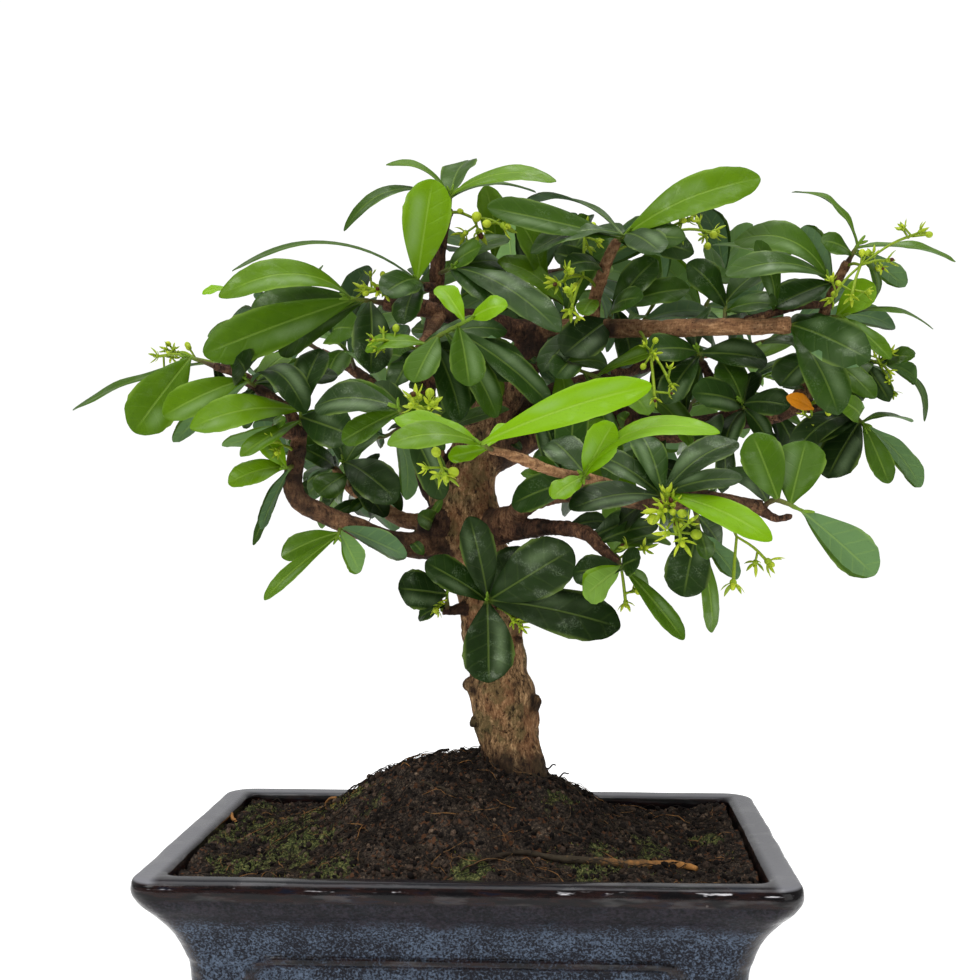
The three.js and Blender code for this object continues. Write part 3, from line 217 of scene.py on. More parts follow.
# Shoots near the eye: the stem's places, and for each leaf its tip's place, breadth, facing and arch
SHOOTS = {
  "leader": ([[449, 209, -2], [451, 195, -4]], [
    [343, 221, -20, 8.4, 20, 0.2], [387, 163, -12, 8.4, 16, 0.2], [466, 160, 24, 13, 50, 0.08],
    [536, 193, 6, 9, 12, 0.14], [555, 177, -14, 10.6, 34, 0.14],
  ]),
  "leader_base": ([[424, 286, -8], [417, 280, -16]], [
    [398, 334, -26, 11, 50, 0.1], [374, 297, -38, 12, 50, 0.12], [232, 268, -40, 11, 9, 0.17],
    [436, 238, 14, 8, 45, 0.1], [432, 180, -16, 16.4, 84, 0.04],
  ]),
  "upper_left": ([[383, 303, -18], [350, 298, -25]], [
    [371, 372, -42, 14, 76, 0.08], [276, 352, -12, 12, 60, 0.08], [251, 309, -20, 13, 64, 0.06],
    [203, 354, -34, 16, 80, 0.06], [213, 289, -40, 12.6, 46, 0.22],
  ]),
  "far_left": ([[214, 366, -16], [190, 357, -17]], [
    [72, 409, -6, 9, 16, 0.05], [134, 431, -28, 17, 84, 0.06],
  ]),
  "left_middle": ([[256, 387, -19], [246, 379, -27]], [
    [338, 376, -16, 10, 50, 0.1], [306, 412, -38, 13.5, 40, 0.36], [173, 439, -16, 8, -62, 0.05],
    [163, 416, -38, 12, 62, 0.1],
  ]),
  "left_bend": ([[302, 432, -24], [300, 410, -30]], [
    [222, 446, -16, 7, -50, 0.02], [227, 461, -32, 7, 50, 0.04], [350, 434, -44, 14, 78, 0.06],
    [313, 374, -10, 12, 55, 0.12], [190, 426, -44, 13.4, 54, 0.14],
  ]),
  "left_low": ([[294, 468, -26], [286, 468, -34]], [
    [252, 545, -24, 5, 40, 0.02], [258, 529, -34, 7, -36, 0.03], [228, 483, -38, 10.6, 54, 0.14],
    [262, 436, -36, 8, 64, 0.06],
  ]),
  "left_under": ([[342, 521, -22], [338, 536, -27]], [
    [407, 555, -34, 10.6, -46, 0.04], [361, 572, -34, 9, -64, 0.03], [281, 556, -30, 9.4, 62, 0.1],
    [257, 602, -40, 6, 50, 0.03],
  ]),
  "left_heart": ([[350, 488, 14], [344, 462, 2]], [
    [390, 522, 4, 10, 50, 0.08], [318, 494, 0, 12, 55, 0.1], [402, 510, -2, 8, 42, 0.3],
    [324, 428, 22, 12, 40, 0.1], [372, 430, 14, 12, 50, 0.12], [398, 501, -20, 14, 72, 0.14],
  ]),
  "front_left": ([[406, 418, -62], [398, 408, -66]], [
    [433, 478, -42, 10, 70, 0.06], [342, 441, -60, 9, 60, 0.06], [314, 404, -64, 14.5, 48, 0.16],
  ]),
  "young_shoot": ([[417, 350, -36], [444, 333, -44], [472, 318, -52]], [
    [392, 390, -44, 10, 50, 0.1], [366, 345, -38, 8.4, 40, 0.1], [462, 420, -40, 12, 64, 0.08],
    [412, 385, -50, 12, 60, 0.06], [498, 417, -42, 12, 54, 0.1], [547, 402, -28, 11, 52, 0.08],
    [470, 386, -56, 12, 60, 0.06], [439, 282, -46, 7.6, 66, 0.06], [502, 303, -62, 8, 54, 0.06],
  ]),
  "upper_middle": ([[437, 276, 2], [453, 268, -12]], [
    [508, 236, 10, 11, 40, 0.1], [524, 262, 12, 12, 50, 0.1], [481, 246, -18, 10, 45, 0.1],
    [500, 300, -30, 11, 60, 0.1], [560, 329, -44, 13, 50, 0.1],
  ]),
  "front_twig_end": ([[492, 450, -78], [480, 444, -82]], [
    [448, 457, -80, 6, 60, 0.02], [512, 424, -74, 6, 50, 0.06], [400, 420, -74, 9, 44, 0.1],
    [378, 440, -88, 10.6, 40, 0.12], [651, 384, -96, 11, 72, 0.1],
  ]),
  "front_twig_middle": ([[590, 479, -68], [583, 475, -74]], [
    [552, 438, -58, 12, 66, 0.08], [510, 503, -64, 12, 62, 0.06], [546, 500, -76, 8, 52, 0.06],
    [612, 424, -84, 10.6, 78, 0.04], [720, 432, -88, 11, 34, 0.22],
  ]),
  "front_heart": ([[655, 501, -56], [665, 494, -66]], [
    [582, 541, -46, 13.4, 55, 0.06], [553, 508, -60, 13, 40, 0.1], [592, 452, -48, 10, 55, 0.1],
    [640, 430, -52, 11, 60, 0.08], [737, 440, -58, 13.4, 42, 0.14], [742, 478, -78, 9, 46, 0.1],
    [785, 541, -76, 9, 60, 0.08],
  ]),
  "front_hanging": ([[692, 502, -58], [700, 538, -60]], [
    [722, 548, -46, 9, 50, 0.06], [676, 548, -50, 9, 50, 0.06], [683, 597, -60, 14.5, 80, 0.04],
    [708, 556, -76, 6, 60, 0.02], [738, 577, -54, 8, -56, 0.06], [716, 642, -62, 7, 52, 0.02],
  ]),
  "right_pair": ([[762, 508, -58], [776, 500, -62], [803, 511, -63]], [
    [740, 466, -38, 12, 60, 0.08], [753, 434, -66, 14, 74, 0.04], [806, 440, -58, 15.4, 80, 0.04],
    [876, 574, -62, 14, -64, 0.05],
  ]),
  "low_right": ([[617, 562, -50], [625, 570, -54]], [
    [646, 596, -36, 8, 40, 0.1], [583, 596, -62, 11, -62, 0.04], [660, 545, -62, 9, 66, 0.08],
    [572, 572, -48, 11, 60, 0.06], [684, 640, -60, 7.5, 60, 0.05],
  ]),
  "trunk_spur": ([[489, 604, -15], [487, 600, -22]], [
    [521, 546, -14, 12, 66, 0.06], [470, 517, -30, 12, 72, 0.06], [425, 562, -26, 12, 60, 0.08],
    [577, 546, -34, 19, 86, 0.04], [615, 626, -40, 17, 66, 0.08], [489, 682, -36, 17, 85, 0.05],
  ]),
  "low_left_spur": ([[446, 611, -11], [447, 594, -16]], [
    [418, 618, -8, 7, 40, 0.06], [399, 588, -26, 14, 76, 0.06],
  ]),
  "right_top": ([[848, 264, -8], [858, 244, -9]], [
    [822, 240, -16, 9, 42, 0.12], [874, 295, -16, 5, 34, 0.22], [905, 284, 6, 9, -50, 0.04],
    [963, 258, -12, 9, 12, 0.07], [796, 187, -6, 9, 18, 0.17],
  ]),
  "right_shoulder": ([[836, 286, -6], [828, 279, -13]], [
    [778, 304, -20, 12, 55, 0.08], [803, 228, 8, 10.6, -50, 0.06], [708, 238, 4, 10, 22, 0.06],
    [736, 238, -14, 13.4, 48, 0.3], [712, 268, -28, 12, 36, 0.12],
  ]),
  "right_middle": ([[823, 319, -4], [842, 316, -9]], [
    [862, 358, -6, 10, 50, 0.08], [790, 332, -14, 11, 40, 0.08], [866, 290, -20, 10.6, 70, 0.06],
    [891, 359, -18, 7, 50, 0.08], [934, 326, -10, 9, 16, 0.14],
  ]),
  "far_right": ([[862, 362, 4], [884, 362, 6]], [
    [850, 398, 12, 12, 60, 0.1], [820, 398, -14, 12, 50, 0.1], [914, 356, -8, 8, 50, 0.1],
    [914, 378, -10, 7, -60, 0.14], [927, 420, 2, 8, 14, 0.2],
  ]),
  "right_heart": ([[818, 350, -2], [812, 358, -12]], [
    [882, 402, -16, 9, 54, 0.1], [780, 384, -20, 13, 60, 0.1], [763, 343, -14, 9, 24, 0.2],
  ]),
  "low_far_right": ([[856, 418, -4], [864, 424, -8]], [
    [797, 440, -12, 12, 52, 0.12], [830, 472, -20, 14, 74, 0.06], [912, 422, 6, 7, 18, 0.12],
    [887, 479, -18, 9.4, 60, 0.04], [922, 486, -6, 10, -44, 0.1],
  ]),
  "right_crook": ([[745, 416, 6], [742, 402, -8]], [
    [752, 372, 8, 11, 55, 0.08], [722, 452, -22, 12, 50, 0.1], [770, 444, -2, 10, 50, 0.1],
    [694, 392, -26, 12, 56, 0.1], [790, 406, -16, 12, 50, 0.12], [722, 362, -12, 13, 60, 0.12],
  ]),
  "mid_right": ([[702, 362, -8], [697, 350, -14]], [
    [650, 385, 0, 12, 50, 0.1], [668, 400, -24, 11, 60, 0.1], [765, 358, -4, 12.6, 58, 0.08],
    [646, 350, -24, 12, 50, 0.1], [700, 310, 6, 12, 54, 0.08],
  ]),
  "bar_middle": ([[606, 329, -5], [614, 306, 0]], [
    [566, 352, -26, 15, 80, 0.06], [640, 296, -30, 10, 30, 0.1], [655, 258, -6, 12, 60, 0.08],
    [688, 288, -10, 11, 50, 0.1], [632, 368, 12, 12, 56, 0.1],
  ]),
  "bar_end": ([[722, 325, -17], [726, 302, -8]], [
    [764, 366, 4, 13.4, 64, 0.08], [775, 302, -26, 11, 36, 0.1], [690, 262, -18, 12, 54, 0.1],
    [764, 268, -4, 12, 50, 0.12],
  ]),
  "top_spur": ([[616, 243, -14], [626, 234, -17]], [
    [694, 238, -14, 10, 60, 0.1], [761, 178, -26, 14.5, 60, 0.15], [478, 203, -28, 12.6, 46, 0.01],
    [488, 189, 8, 9, 8, 0.12], [525, 250, -16, 11, 30, 0.14], [680, 262, -32, 12, 54, 0.1],
  ]),
}

# Where along the stem the first leaf grows, in the shoots that bear leaves lower down
LEAVES_FROM = {"young_shoot": 0.06, "right_pair": 0.2}

# Shoots inside the crown and behind it: the stem's places, and how many leaves grow round it
FAR_SHOOTS = {
  "back_left_end": ([[322, 352, 84], [298, 338, 84], [270, 330, 74]], 8),
  "back_left_upper": ([[356, 372, 70], [350, 356, 62], [338, 342, 54]], 8),
  "back_left_lower": ([[410, 424, 38], [386, 436, 46], [352, 440, 50]], 7),
  "back_right_end": ([[732, 350, 84], [768, 340, 78], [806, 326, 62]], 8),
  "back_right_upper": ([[684, 358, 72], [700, 316, 66], [724, 276, 54]], 9),
  "back_right_middle": ([[622, 372, 54], [640, 328, 50], [664, 287, 42]], 9),
  "back_right_lower": ([[610, 376, 50], [628, 404, 60], [664, 420, 64]], 6),
  "back_top": ([[550, 264, 64], [566, 270, 58], [597, 276, 44]], 7),
  "back_top_left": ([[541, 305, 34], [516, 276, 34], [484, 254, 32]], 7),
  "back_middle": ([[500, 392, 84], [496, 358, 88], [470, 332, 84]], 7),
  "inner_right": ([[680, 428, 10], [700, 396, 26], [764, 376, 30]], 8),
  "inner_left": ([[560, 331, 0], [566, 306, 16], [520, 282, 18]], 8),
  "inner_middle": ([[548, 428, 8], [580, 450, 22], [640, 462, 22]], 8),
  "inner_centre": ([[530, 352, 6], [568, 366, -8], [622, 386, -12]], 8),
}

# Sprays: a root on the wood, then the calyces
SPRAYS = {
  "far_left": [[234, 373, -17], [156, 356, 2], [174, 353, 10]],
  "upper_left": [[400, 304, -17], [362, 290, -14], [378, 289, -28]],
  "crown": [[449, 212, -2], [480, 234, -8], [506, 226, -12]],
  "top": [[598, 290, -9], [585, 226, -14], [556, 284, -30], [570, 312, -34]],
  "right_of_top": [[612, 252, -13], [690, 219, -20], [716, 232, -6]],
  "right_end": [[846, 268, -8], [922, 231, -14], [890, 260, -16], [851, 298, -26], [830, 301, -20]],
  "front_heart": [[668, 500, -57], [660, 512, -74], [676, 522, -70], [682, 543, -78]],
  "low_right": [[600, 546, -44], [626, 604, -40], [646, 548, -60]],
  "hanging": [[716, 502, -58], [770, 563, -60], [733, 585, -66]],
  "front_left": [[410, 420, -56], [414, 396, -70], [432, 404, -74], [446, 478, -72]],
}

# The surface root, in millimetres across and back
ROOT_WAY = [[6, -53], [18, -45], [31, -46.5], [43, -44], [55, -37], [66, -35], [72, -40]]


# Shapes


def lattice(cells, seed):
    """A fixed number from -1 to 1 for each whole-number cell: its places multiplied and folded together"""
    total = np.full(cells.shape[:-1], (seed * 747796405 + 289133645) % 4294967296, np.uint32)
    for k in range(cells.shape[-1]):
        total = (total ^ cells[..., k].astype(np.int64).astype(np.uint32)) * np.uint32(2654435761)
        total = (total ^ (total >> np.uint32(15))) * np.uint32(2246822519)
        total = total ^ (total >> np.uint32(13))
    return total / 2147483648.0 - 1


def drift(points, size, seed):
    """Smooth relief from -1 to 1: the numbers at the corners of a point's cell, eased into each other"""
    place = points / size
    cell = np.floor(place)
    ease = place - cell
    ease = ease * ease * (3 - 2 * ease)
    total = np.zeros(points.shape[:-1])
    for corner in np.ndindex(*(2,) * points.shape[-1]):
        share = np.prod(np.where(corner, ease, 1 - ease), axis=-1)
        total += share * lattice(cell + corner, seed)
    return total


def pebbles(points, size, seed):
    """How far a point is from the nearest of seeds scattered one to a cell, in cells, and the number of
    that seed"""
    place = points / size
    cell = np.floor(place)
    near = np.full(points.shape[:-1], 9.0)
    number = np.zeros(points.shape[:-1])
    width = points.shape[-1]
    for step in np.ndindex(*(3,) * width):
        other = cell + np.array(step) - 1
        spot = other + 0.5 + 0.45 * np.stack([lattice(other, seed + k) for k in range(width)], axis=-1)
        away = np.linalg.norm(place - spot, axis=-1)
        number = np.where(away < near, lattice(other, seed + 7), number)
        near = np.minimum(near, away)
    return near, number


def unit(vectors):
    """Directions: vectors divided by their own lengths"""
    return vectors / np.maximum(np.linalg.norm(vectors, axis=-1, keepdims=True), 1e-9)


def swept(path, steps):
    """A smooth way through points: each stretch is the cubic that leaves and meets its ends along their
    neighbours' chords, cut into the same number of steps"""
    path = np.asarray(path, float)
    before = np.concatenate([2 * path[:1] - path[1:2], path[:-2]])
    after = np.concatenate([path[2:], 2 * path[-1:] - path[-2:-1]])
    t = (np.arange(steps) / steps)[None, :, None]
    a, b, c, d = (row[:, None] for row in (before, path[:-1], path[1:], after))
    way = 0.5 * (2 * b + (c - a) * t + (2 * a - 5 * b + 4 * c - d) * t * t + (3 * b - a - 3 * c + d) * t ** 3)
    return np.concatenate([way.reshape(-1, path.shape[1]), path[-1:]])


def sides_of(path):
    """Two directions across a path at each of its points, turned as little as possible from a fixed one"""
    along = unit(np.gradient(path, axis=0))
    fixed = np.eye(3)[np.argmin(np.abs(along).max(axis=0))]
    normal = unit(fixed - along * (along @ fixed)[:, None])
    return along, normal, np.cross(along, normal)


def tube_rings(path, radii, sides):
    """Rings round a path: at each point a circle of its radius, square to the way"""
    _, normal, across = sides_of(path)
    angle = np.arange(sides) * 2 * math.pi / sides
    circle = np.cos(angle)[:, None] * normal[:, None] + np.sin(angle)[:, None] * across[:, None]
    return path[:, None] + np.asarray(radii)[:, None, None] * circle


def ball_rings(centre, axis, radii, rows, columns):
    """An egg: circles round an axis, whose radius is the sine of their way from pole to pole"""
    way = math.pi * (np.arange(rows) + 0.12) / (rows - 0.76)
    path = centre - np.cos(way)[:, None] * axis * radii[1]
    side = unit(np.cross(axis, (0.3, 0.5, 0.81)))
    up = np.cross(axis, side)
    angle = np.arange(columns) * 2 * math.pi / columns
    circle = np.cos(angle)[:, None] * side + np.sin(angle)[:, None] * up
    return path[:, None] + radii[0] * np.sin(way)[:, None, None] * circle


class Shape:
    """Grids of points joined by faces, with values for each point and each face"""

    def __init__(self, *names, face_names=()):
        self.names, self.face_names = names, face_names
        self.points, self.faces, self.finish = [], [], []
        self.values = {name: [] for name in names}
        self.face_values = {name: [] for name in face_names}
        self.count = 0

    def _faces(self, numbers, finish, values):
        """Adds faces given by the numbers of their corners, all in one finish"""
        self.faces.append(numbers)
        self.finish.append(np.full(len(numbers), finish))
        for name in self.face_names:
            value = values.get(name, 0.0)
            self.face_values[name].append(np.broadcast_to(value, len(numbers)).astype(float))

    def lay(self, grid, finish=0, closed=True, ringed=True, face=None, **values):
        """Four-sided faces between the rows and columns of a grid, whose rows join up where it is ringed. A
        closed grid is a solid: both ends are capped, and it is turned so that it holds a positive volume"""
        rows, columns = grid.shape[:2]
        number = self.count + np.arange(rows * columns).reshape(rows, columns)
        wide = np.concatenate([number, number[:, :1]], axis=1) if ringed else number
        quads = np.stack([wide[:-1, :-1], wide[:-1, 1:], wide[1:, 1:], wide[1:, :-1]], axis=-1)
        flat = grid.reshape(-1, 3)
        corner = flat[quads - self.count] - flat.mean(axis=0)
        cross = np.cross(corner[..., 1, :], corner[..., 2, :])
        volume = np.einsum("...i,...i", corner[..., 0, :], cross).sum()
        turn = slice(None, None, -1) if closed and volume < 0 else slice(None)
        face = face or {}
        spread = {name: np.broadcast_to(value, quads.shape[:2]).ravel() for name, value in face.items()}
        self._faces(quads.reshape(-1, 4)[:, turn], finish, spread)
        if closed:
            self._faces(number[:1, ::-1][:, turn], finish, {})
            self._faces(number[-1:][:, turn], finish, {})
        self.points.append(flat)
        for name in self.names:
            value = np.broadcast_to(values.get(name, 0.0), (rows, columns))
            self.values[name].append(value.ravel())
        self.count += rows * columns

    def copies(self, copies, faces, finish=0, **values):
        """The same faces on every copy of a small form, with one value of each name for each copy"""
        count, corners = copies.shape[:2]
        numbers = self.count + np.arange(count)[:, None, None] * corners + faces
        self._faces(numbers.reshape(-1, faces.shape[1]), finish, {})
        self.points.append(copies.reshape(-1, 3))
        for name in self.names:
            self.values[name].append(np.repeat(np.broadcast_to(values.get(name, 0.0), count), corners))
        self.count += count * corners

    def mesh(self, name):
        """One mesh of all that was laid, in metres, from the middle of the pot"""
        points = np.concatenate(self.points) * MM + MIDDLE
        corners = np.concatenate([faces.ravel() for faces in self.faces])
        sizes = np.concatenate([np.full(len(faces), faces.shape[1]) for faces in self.faces])
        mesh = bpy.data.meshes.new(name)
        mesh.vertices.add(len(points))
        mesh.vertices.foreach_set("co", points.ravel())
        mesh.loops.add(len(corners))
        mesh.loops.foreach_set("vertex_index", corners.astype(np.int32))
        mesh.polygons.add(len(sizes))
        mesh.polygons.foreach_set("loop_start", (np.cumsum(sizes) - sizes).astype(np.int32))
        mesh.polygons.foreach_set("material_index", np.concatenate(self.finish).astype(np.int32))
        mesh.update(calc_edges=True)
        mesh.shade_smooth()
        for kind, made in (("POINT", self.values), ("FACE", self.face_values)):
            for value_name, value in made.items():
                entry = mesh.attributes.new(value_name, "FLOAT", kind)
                entry.data.foreach_set("value", np.concatenate(value).astype(np.float32))
        return mesh


def piece(name, mesh, finishes, slot, *stands_for, crease=None):
    """Puts a mesh in the scene as a piece of the bonsai, in its finishes, for the solids it stands for"""
    made = bpy.data.objects.new(name, mesh)
    bpy.context.scene.collection.objects.link(made)
    for finish in finishes:
        mesh.materials.append(finish)
    if crease:
        mesh.set_sharp_from_angle(angle=math.radians(crease))
    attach(made, "root")
    if stands_for:
        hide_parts(*stands_for)
    return made


# Finishes


def maths(operation, own_last=False):
    """Makes a method that adds one Math node, with the value itself first or last"""
    def method(self, *others):
        """The outcome of the operation on the value and the others"""
        numbers = (*others, self) if own_last else (self, *others)
        return self.finish.add("ShaderNodeMath", {"operation": operation}, dict(enumerate(numbers)))
    return method


class Value:
    """A number that varies over a surface: sums, products and the like add Math nodes"""

    def __init__(self, finish, socket):
        self.finish, self.socket = finish, socket

    __add__, __radd__ = maths("ADD"), maths("ADD", True)
    __sub__, __rsub__ = maths("SUBTRACT"), maths("SUBTRACT", True)
    __mul__, __rmul__ = maths("MULTIPLY"), maths("MULTIPLY", True)
    __truediv__ = maths("DIVIDE")
    __mod__ = maths("FLOORED_MODULO")
    __abs__ = maths("ABSOLUTE")
    greater = maths("MAXIMUM")

    def rise(self, low, high, first=0.0, last=1.0):
        """Eases from the first number to the last as the value goes from low to high"""
        settings = {"interpolation_type": "SMOOTHSTEP"}
        return self.finish.add("ShaderNodeMapRange", settings, {0: self, 1: low, 2: high, 3: first, 4: last})


class Finish:
    """A material made of nodes round one Principled shader"""

    def __init__(self, name, **constants):
        self.material = bpy.data.materials.new(name)
        self.material.use_nodes = True
        self.tree = self.material.node_tree
        self.shader = self.tree.nodes["Principled BSDF"]
        for socket, number in constants.items():
            self.shader.inputs[socket.replace("_", " ")].default_value = number

    def add(self, kind, settings, sockets, out=0):
        """A node of a kind: its settings, then the values or links of its sockets; returns one output"""
        node = self.tree.nodes.new(kind)
        for name, setting in settings.items():
            if name == "stops":
                self._stops(node.color_ramp, setting)
            else:
                setattr(node, name, setting)
        for name, value in sockets.items():
            if isinstance(value, Value):
                self.tree.links.new(value.socket, node.inputs[name])
            else:
                node.inputs[name].default_value = value
        return Value(self, node.outputs[out])

    def _stops(self, ramp, stops):
        """Sets the places and colours of a ramp, which starts with two"""
        for k, (place, *colour) in enumerate(stops):
            stop = ramp.elements[k] if k < 2 else ramp.elements.new(place)
            stop.position = place
            stop.color = tint(*colour)

    def place(self, *scale):
        """Object coordinates, in millimetres, stretched by a scale for each axis"""
        spot = self.add("ShaderNodeTexCoord", {}, {}, "Object")
        stretch = tuple(1000 * s for s in (scale or (1, 1, 1)))
        return self.add("ShaderNodeVectorMath", {"operation": "MULTIPLY"}, {0: spot, 1: stretch})

    def grain(self, size, detail=3.0, rough=0.55, place=None, warp=0.0, out="Fac"):
        """Cloudy noise, 0 to 1, whose clouds are about a size across"""
        sockets = {"Scale": 1 / size, "Detail": detail, "Roughness": rough, "Distortion": warp}
        sockets["Vector"] = place or self.place()
        return self.add("ShaderNodeTexNoise", {"normalize": True}, sockets, out)

    def cells(self, size, place=None, feature="F1", out="Distance"):
        """Scattered cells about a size across"""
        sockets = {"Scale": 1 / size, "Vector": place or self.place()}
        return self.add("ShaderNodeTexVoronoi", {"feature": feature}, sockets, out)

    def kept(self, name):
        """A value that the mesh holds for each point or face"""
        return self.add("ShaderNodeAttribute", {"attribute_name": name}, {}, "Fac")

    def mix(self, share, first, second, way="MIX"):
        """Two colours mixed by a share"""
        settings = {"data_type": "RGBA", "blend_type": way, "clamp_factor": True}
        return self.add("ShaderNodeMix", settings, {0: share, 6: first, 7: second}, 2)

    def ramp(self, value, *stops):
        """Colours along a value: each stop is its place and its colour as it is seen"""
        return self.add("ShaderNodeValToRGB", {"stops": stops}, {0: value}, "Color")

    def surface(self, colour, roughness=None, height=None, depth=0.1, coat=None):
        """Wires the colour, the roughness and a height in millimetres of the given depth to the shader"""
        self.tree.links.new(colour.socket, self.shader.inputs["Base Color"])
        if roughness:
            self.tree.links.new(roughness.socket, self.shader.inputs["Roughness"])
        if coat:
            self.tree.links.new(coat.socket, self.shader.inputs["Coat Weight"])
        if height:
            sockets = {"Height": height, "Distance": depth * MM, "Strength": 1.0}
            bump = self.add("ShaderNodeBump", {}, sockets, "Normal")
            self.tree.links.new(bump.socket, self.shader.inputs["Normal"])
        return self.material


def tint(red, green, blue):
    """A colour given as it is seen, 0 to 255, turned into amounts of light"""
    seen = np.array([red, green, blue]) / 255
    light = np.where(seen <= 0.04045, seen / 12.92, ((seen + 0.055) / 1.055) ** 2.4)
    return (*light.tolist(), 1.0)


# Setting out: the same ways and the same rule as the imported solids, so that each leaf lies where its solid is


def table_path(rows):
    """The way through a table's columns, rows and depths"""
    return sight([row[:3] for row in rows])


WOOD_WAYS = {name: (table_path(rows), np.array([row[3] / 2 for row in rows])) for name, rows in WOOD.items()}
TRUNK_FOOT = 40
trunk_way = WOOD_WAYS["trunk"][0]
trunk_way[0] = (trunk_way[1, 0], trunk_way[0, 1], trunk_way[1, 2] - TRUNK_FOOT)


def markers(path, radii, step):
    """Points and radii at even steps along a path, each stretch cut so that no step is longer than asked"""
    made = []
    for start, end, first, last in zip(path, path[1:], radii, radii[1:]):
        count = math.ceil(float(np.linalg.norm(end - start)) / step)
        share = (np.arange(count) / count)[:, None]
        made.append(np.hstack([start + (end - start) * share, first + (last - first) * share]))
    made.append(np.append(path[-1], radii[-1])[None])
    return np.concatenate(made)


WOOD_MARKS = np.concatenate([markers(path, radii, 2) for path, radii in WOOD_WAYS.values()])


def nearest_wood(point):
    """The middle of the nearest limb, at the mark least far from a point"""
    return WOOD_MARKS[np.argmin(np.linalg.norm(WOOD_MARKS[:, :3] - point, axis=1)), :3]


def path_point(path, share):
    """The point at a share of a path's length"""
    lengths = np.linalg.norm(np.diff(path, axis=0), axis=1)
    along = np.concatenate([[0], np.cumsum(lengths)])
    return np.array([np.interp(share * along[-1], along, path[:, k]) for k in range(3)])


WIDENING, TIP_PLACE, TIP_BLUNTNESS = 0.85, 2.8, 0.62
GREATEST_BREADTH = 0.557


def blade_outline(t):
    """Half the breadth of a spoon-shaped blade, as a share of its greatest: a power of the length from the
    stalk, times a power of what is left to the tip"""
    return t ** WIDENING * np.maximum(1 - t ** TIP_PLACE, 0) ** TIP_BLUNTNESS / GREATEST_BREADTH


def blade_of(root, tip, width, face, arch):
    """A blade's directions: its upper side is turned by the face from level towards the eye"""
    length = float(np.linalg.norm(tip - root))
    along = (tip - root) / length
    to_eye = unit(EYE - (root + tip) / 2)
    facing = unit(to_eye - along * (to_eye @ along))
    level = np.cross(along, facing)
    level = -level if level[2] < 0 else level
    angle = math.radians(face)
    normal = facing * math.sin(angle) + level * math.cos(angle)
    return dict(root=root, tip=tip, length=length, along=along, facing=facing, normal=normal,
                side=np.cross(normal, along), width=width, arch=arch, face=face)


MARK_T = np.array([k / 10 for k in range(2, 10) for _ in range(5)] + [1.0])
MARK_ACROSS = np.array([-0.9, -0.45, 0, 0.45, 0.9] * 8 + [0])


def blade_marks(blade):
    """Points over a blade: five across at each tenth of its length, on the parabola of its arch"""
    half = blade["width"] / 2 * blade_outline(MARK_T) * MARK_ACROSS
    lift = blade["arch"] * blade["length"] * 4 * MARK_T * (1 - MARK_T)
    way = blade["root"] + (blade["tip"] - blade["root"]) * MARK_T[:, None]
    return way + blade["normal"] * lift[:, None] + blade["side"] * half[:, None]


LAST_LEAF = 0.98
NEAR_FROM = 0.4
FAR_FROM = 0.22
NEAR_ROOT = 0.45
ROOT_REACH = 6
TURNS = (0, 7, -7, 14, -14, 21, -21, 28, -28, 35, -35)
WOOD_OWNER = 0
STEM_OWNER = 1
SPRAY_OWNER = 1000
HIDDEN_OWNER = 5000


def clearance(blade, points, placed, owner):
    """The least gap from a blade to all that was set before it, less than nothing where it cuts in"""
    away = np.linalg.norm(placed[:, :3] - blade["root"], axis=1)
    radius, owners, share = placed[:, 3], placed[:, 4], placed[:, 5]
    carries = owners <= STEM_OWNER
    own = owners == owner
    kept = ~(own & (share < NEAR_ROOT)) & ~(carries & (away < radius + ROOT_REACH))
    kept &= away < blade["length"] + 40
    spare = np.where(carries, radius + WOOD_GAP - BLADE_GAP, radius)[kept]
    gap = np.linalg.norm(points[:, None] - placed[kept, :3], axis=-1) - spare
    gap[(MARK_T < NEAR_ROOT)[:, None] & own[kept]] = np.inf
    return gap.min(initial=np.inf)


def settle(root, leaf, placed, owner, enough=BLADE_GAP, least=LEAST_BLADE_GAP):
    """Swings a leaf towards the eye or away until it is clear, and drops one that can't be"""
    tip, width, face, arch = leaf
    straight = blade_of(root, tip, width, face, arch)
    best, best_gap = None, -np.inf
    for turn in TURNS:
        angle = math.radians(turn)
        swing = straight["along"] * math.cos(angle) + straight["facing"] * math.sin(angle)
        blade = blade_of(root, root + swing * straight["length"], width, face, arch)
        points = blade_marks(blade)
        gap = clearance(blade, points, placed, owner)
        if gap > best_gap + 1e-6:
            best, best_gap = (blade, points), gap
        if gap >= enough:
            break
    return best if best_gap >= least else None


def drawer(seed):
    """The same draw of numbers on every run: each is the last multiplied, and what is left by a prime"""
    state = [seed]

    def draw(low, high):
        """The next number, set between two others"""
        state[0] = state[0] * 16807 % 2147483647
        return low + (high - low) * state[0] / 2147483647
    return draw


GOLDEN_TURN = math.radians(137.5)
END_LEAN = 36
TIP_SAG = 3
BACK_OF_CROWN = 30


def whorl(stem, count, draw):
    """Leaves round a far stem, each a golden turn on from the last, leaning out from it less towards its end
    and looking out of the crown"""
    made = []
    for k in range(count):
        root = path_point(stem, FAR_FROM + (LAST_LEAF - FAR_FROM) * (k / (count - 1)))
        along = unit(stem[-1] - stem[0])
        normal = unit(np.array([0, 0, 1]) - along * along[2])
        across = np.cross(along, normal)
        turn = k * GOLDEN_TURN + draw(-0.35, 0.35)
        lean = math.radians(draw(62, 84) - END_LEAN * (k + 1) / count)
        reach = draw(27, 40)
        out = normal * math.cos(turn) + across * math.sin(turn)
        tip = root + along * reach * math.cos(lean) + out * reach * math.sin(lean) - (0, 0, TIP_SAG)
        face = (-1 if tip[1] > BACK_OF_CROWN else 1) * draw(20, 65)
        made.append((tip, reach * draw(0.35, 0.41), face, draw(0.06, 0.18)))
    return made


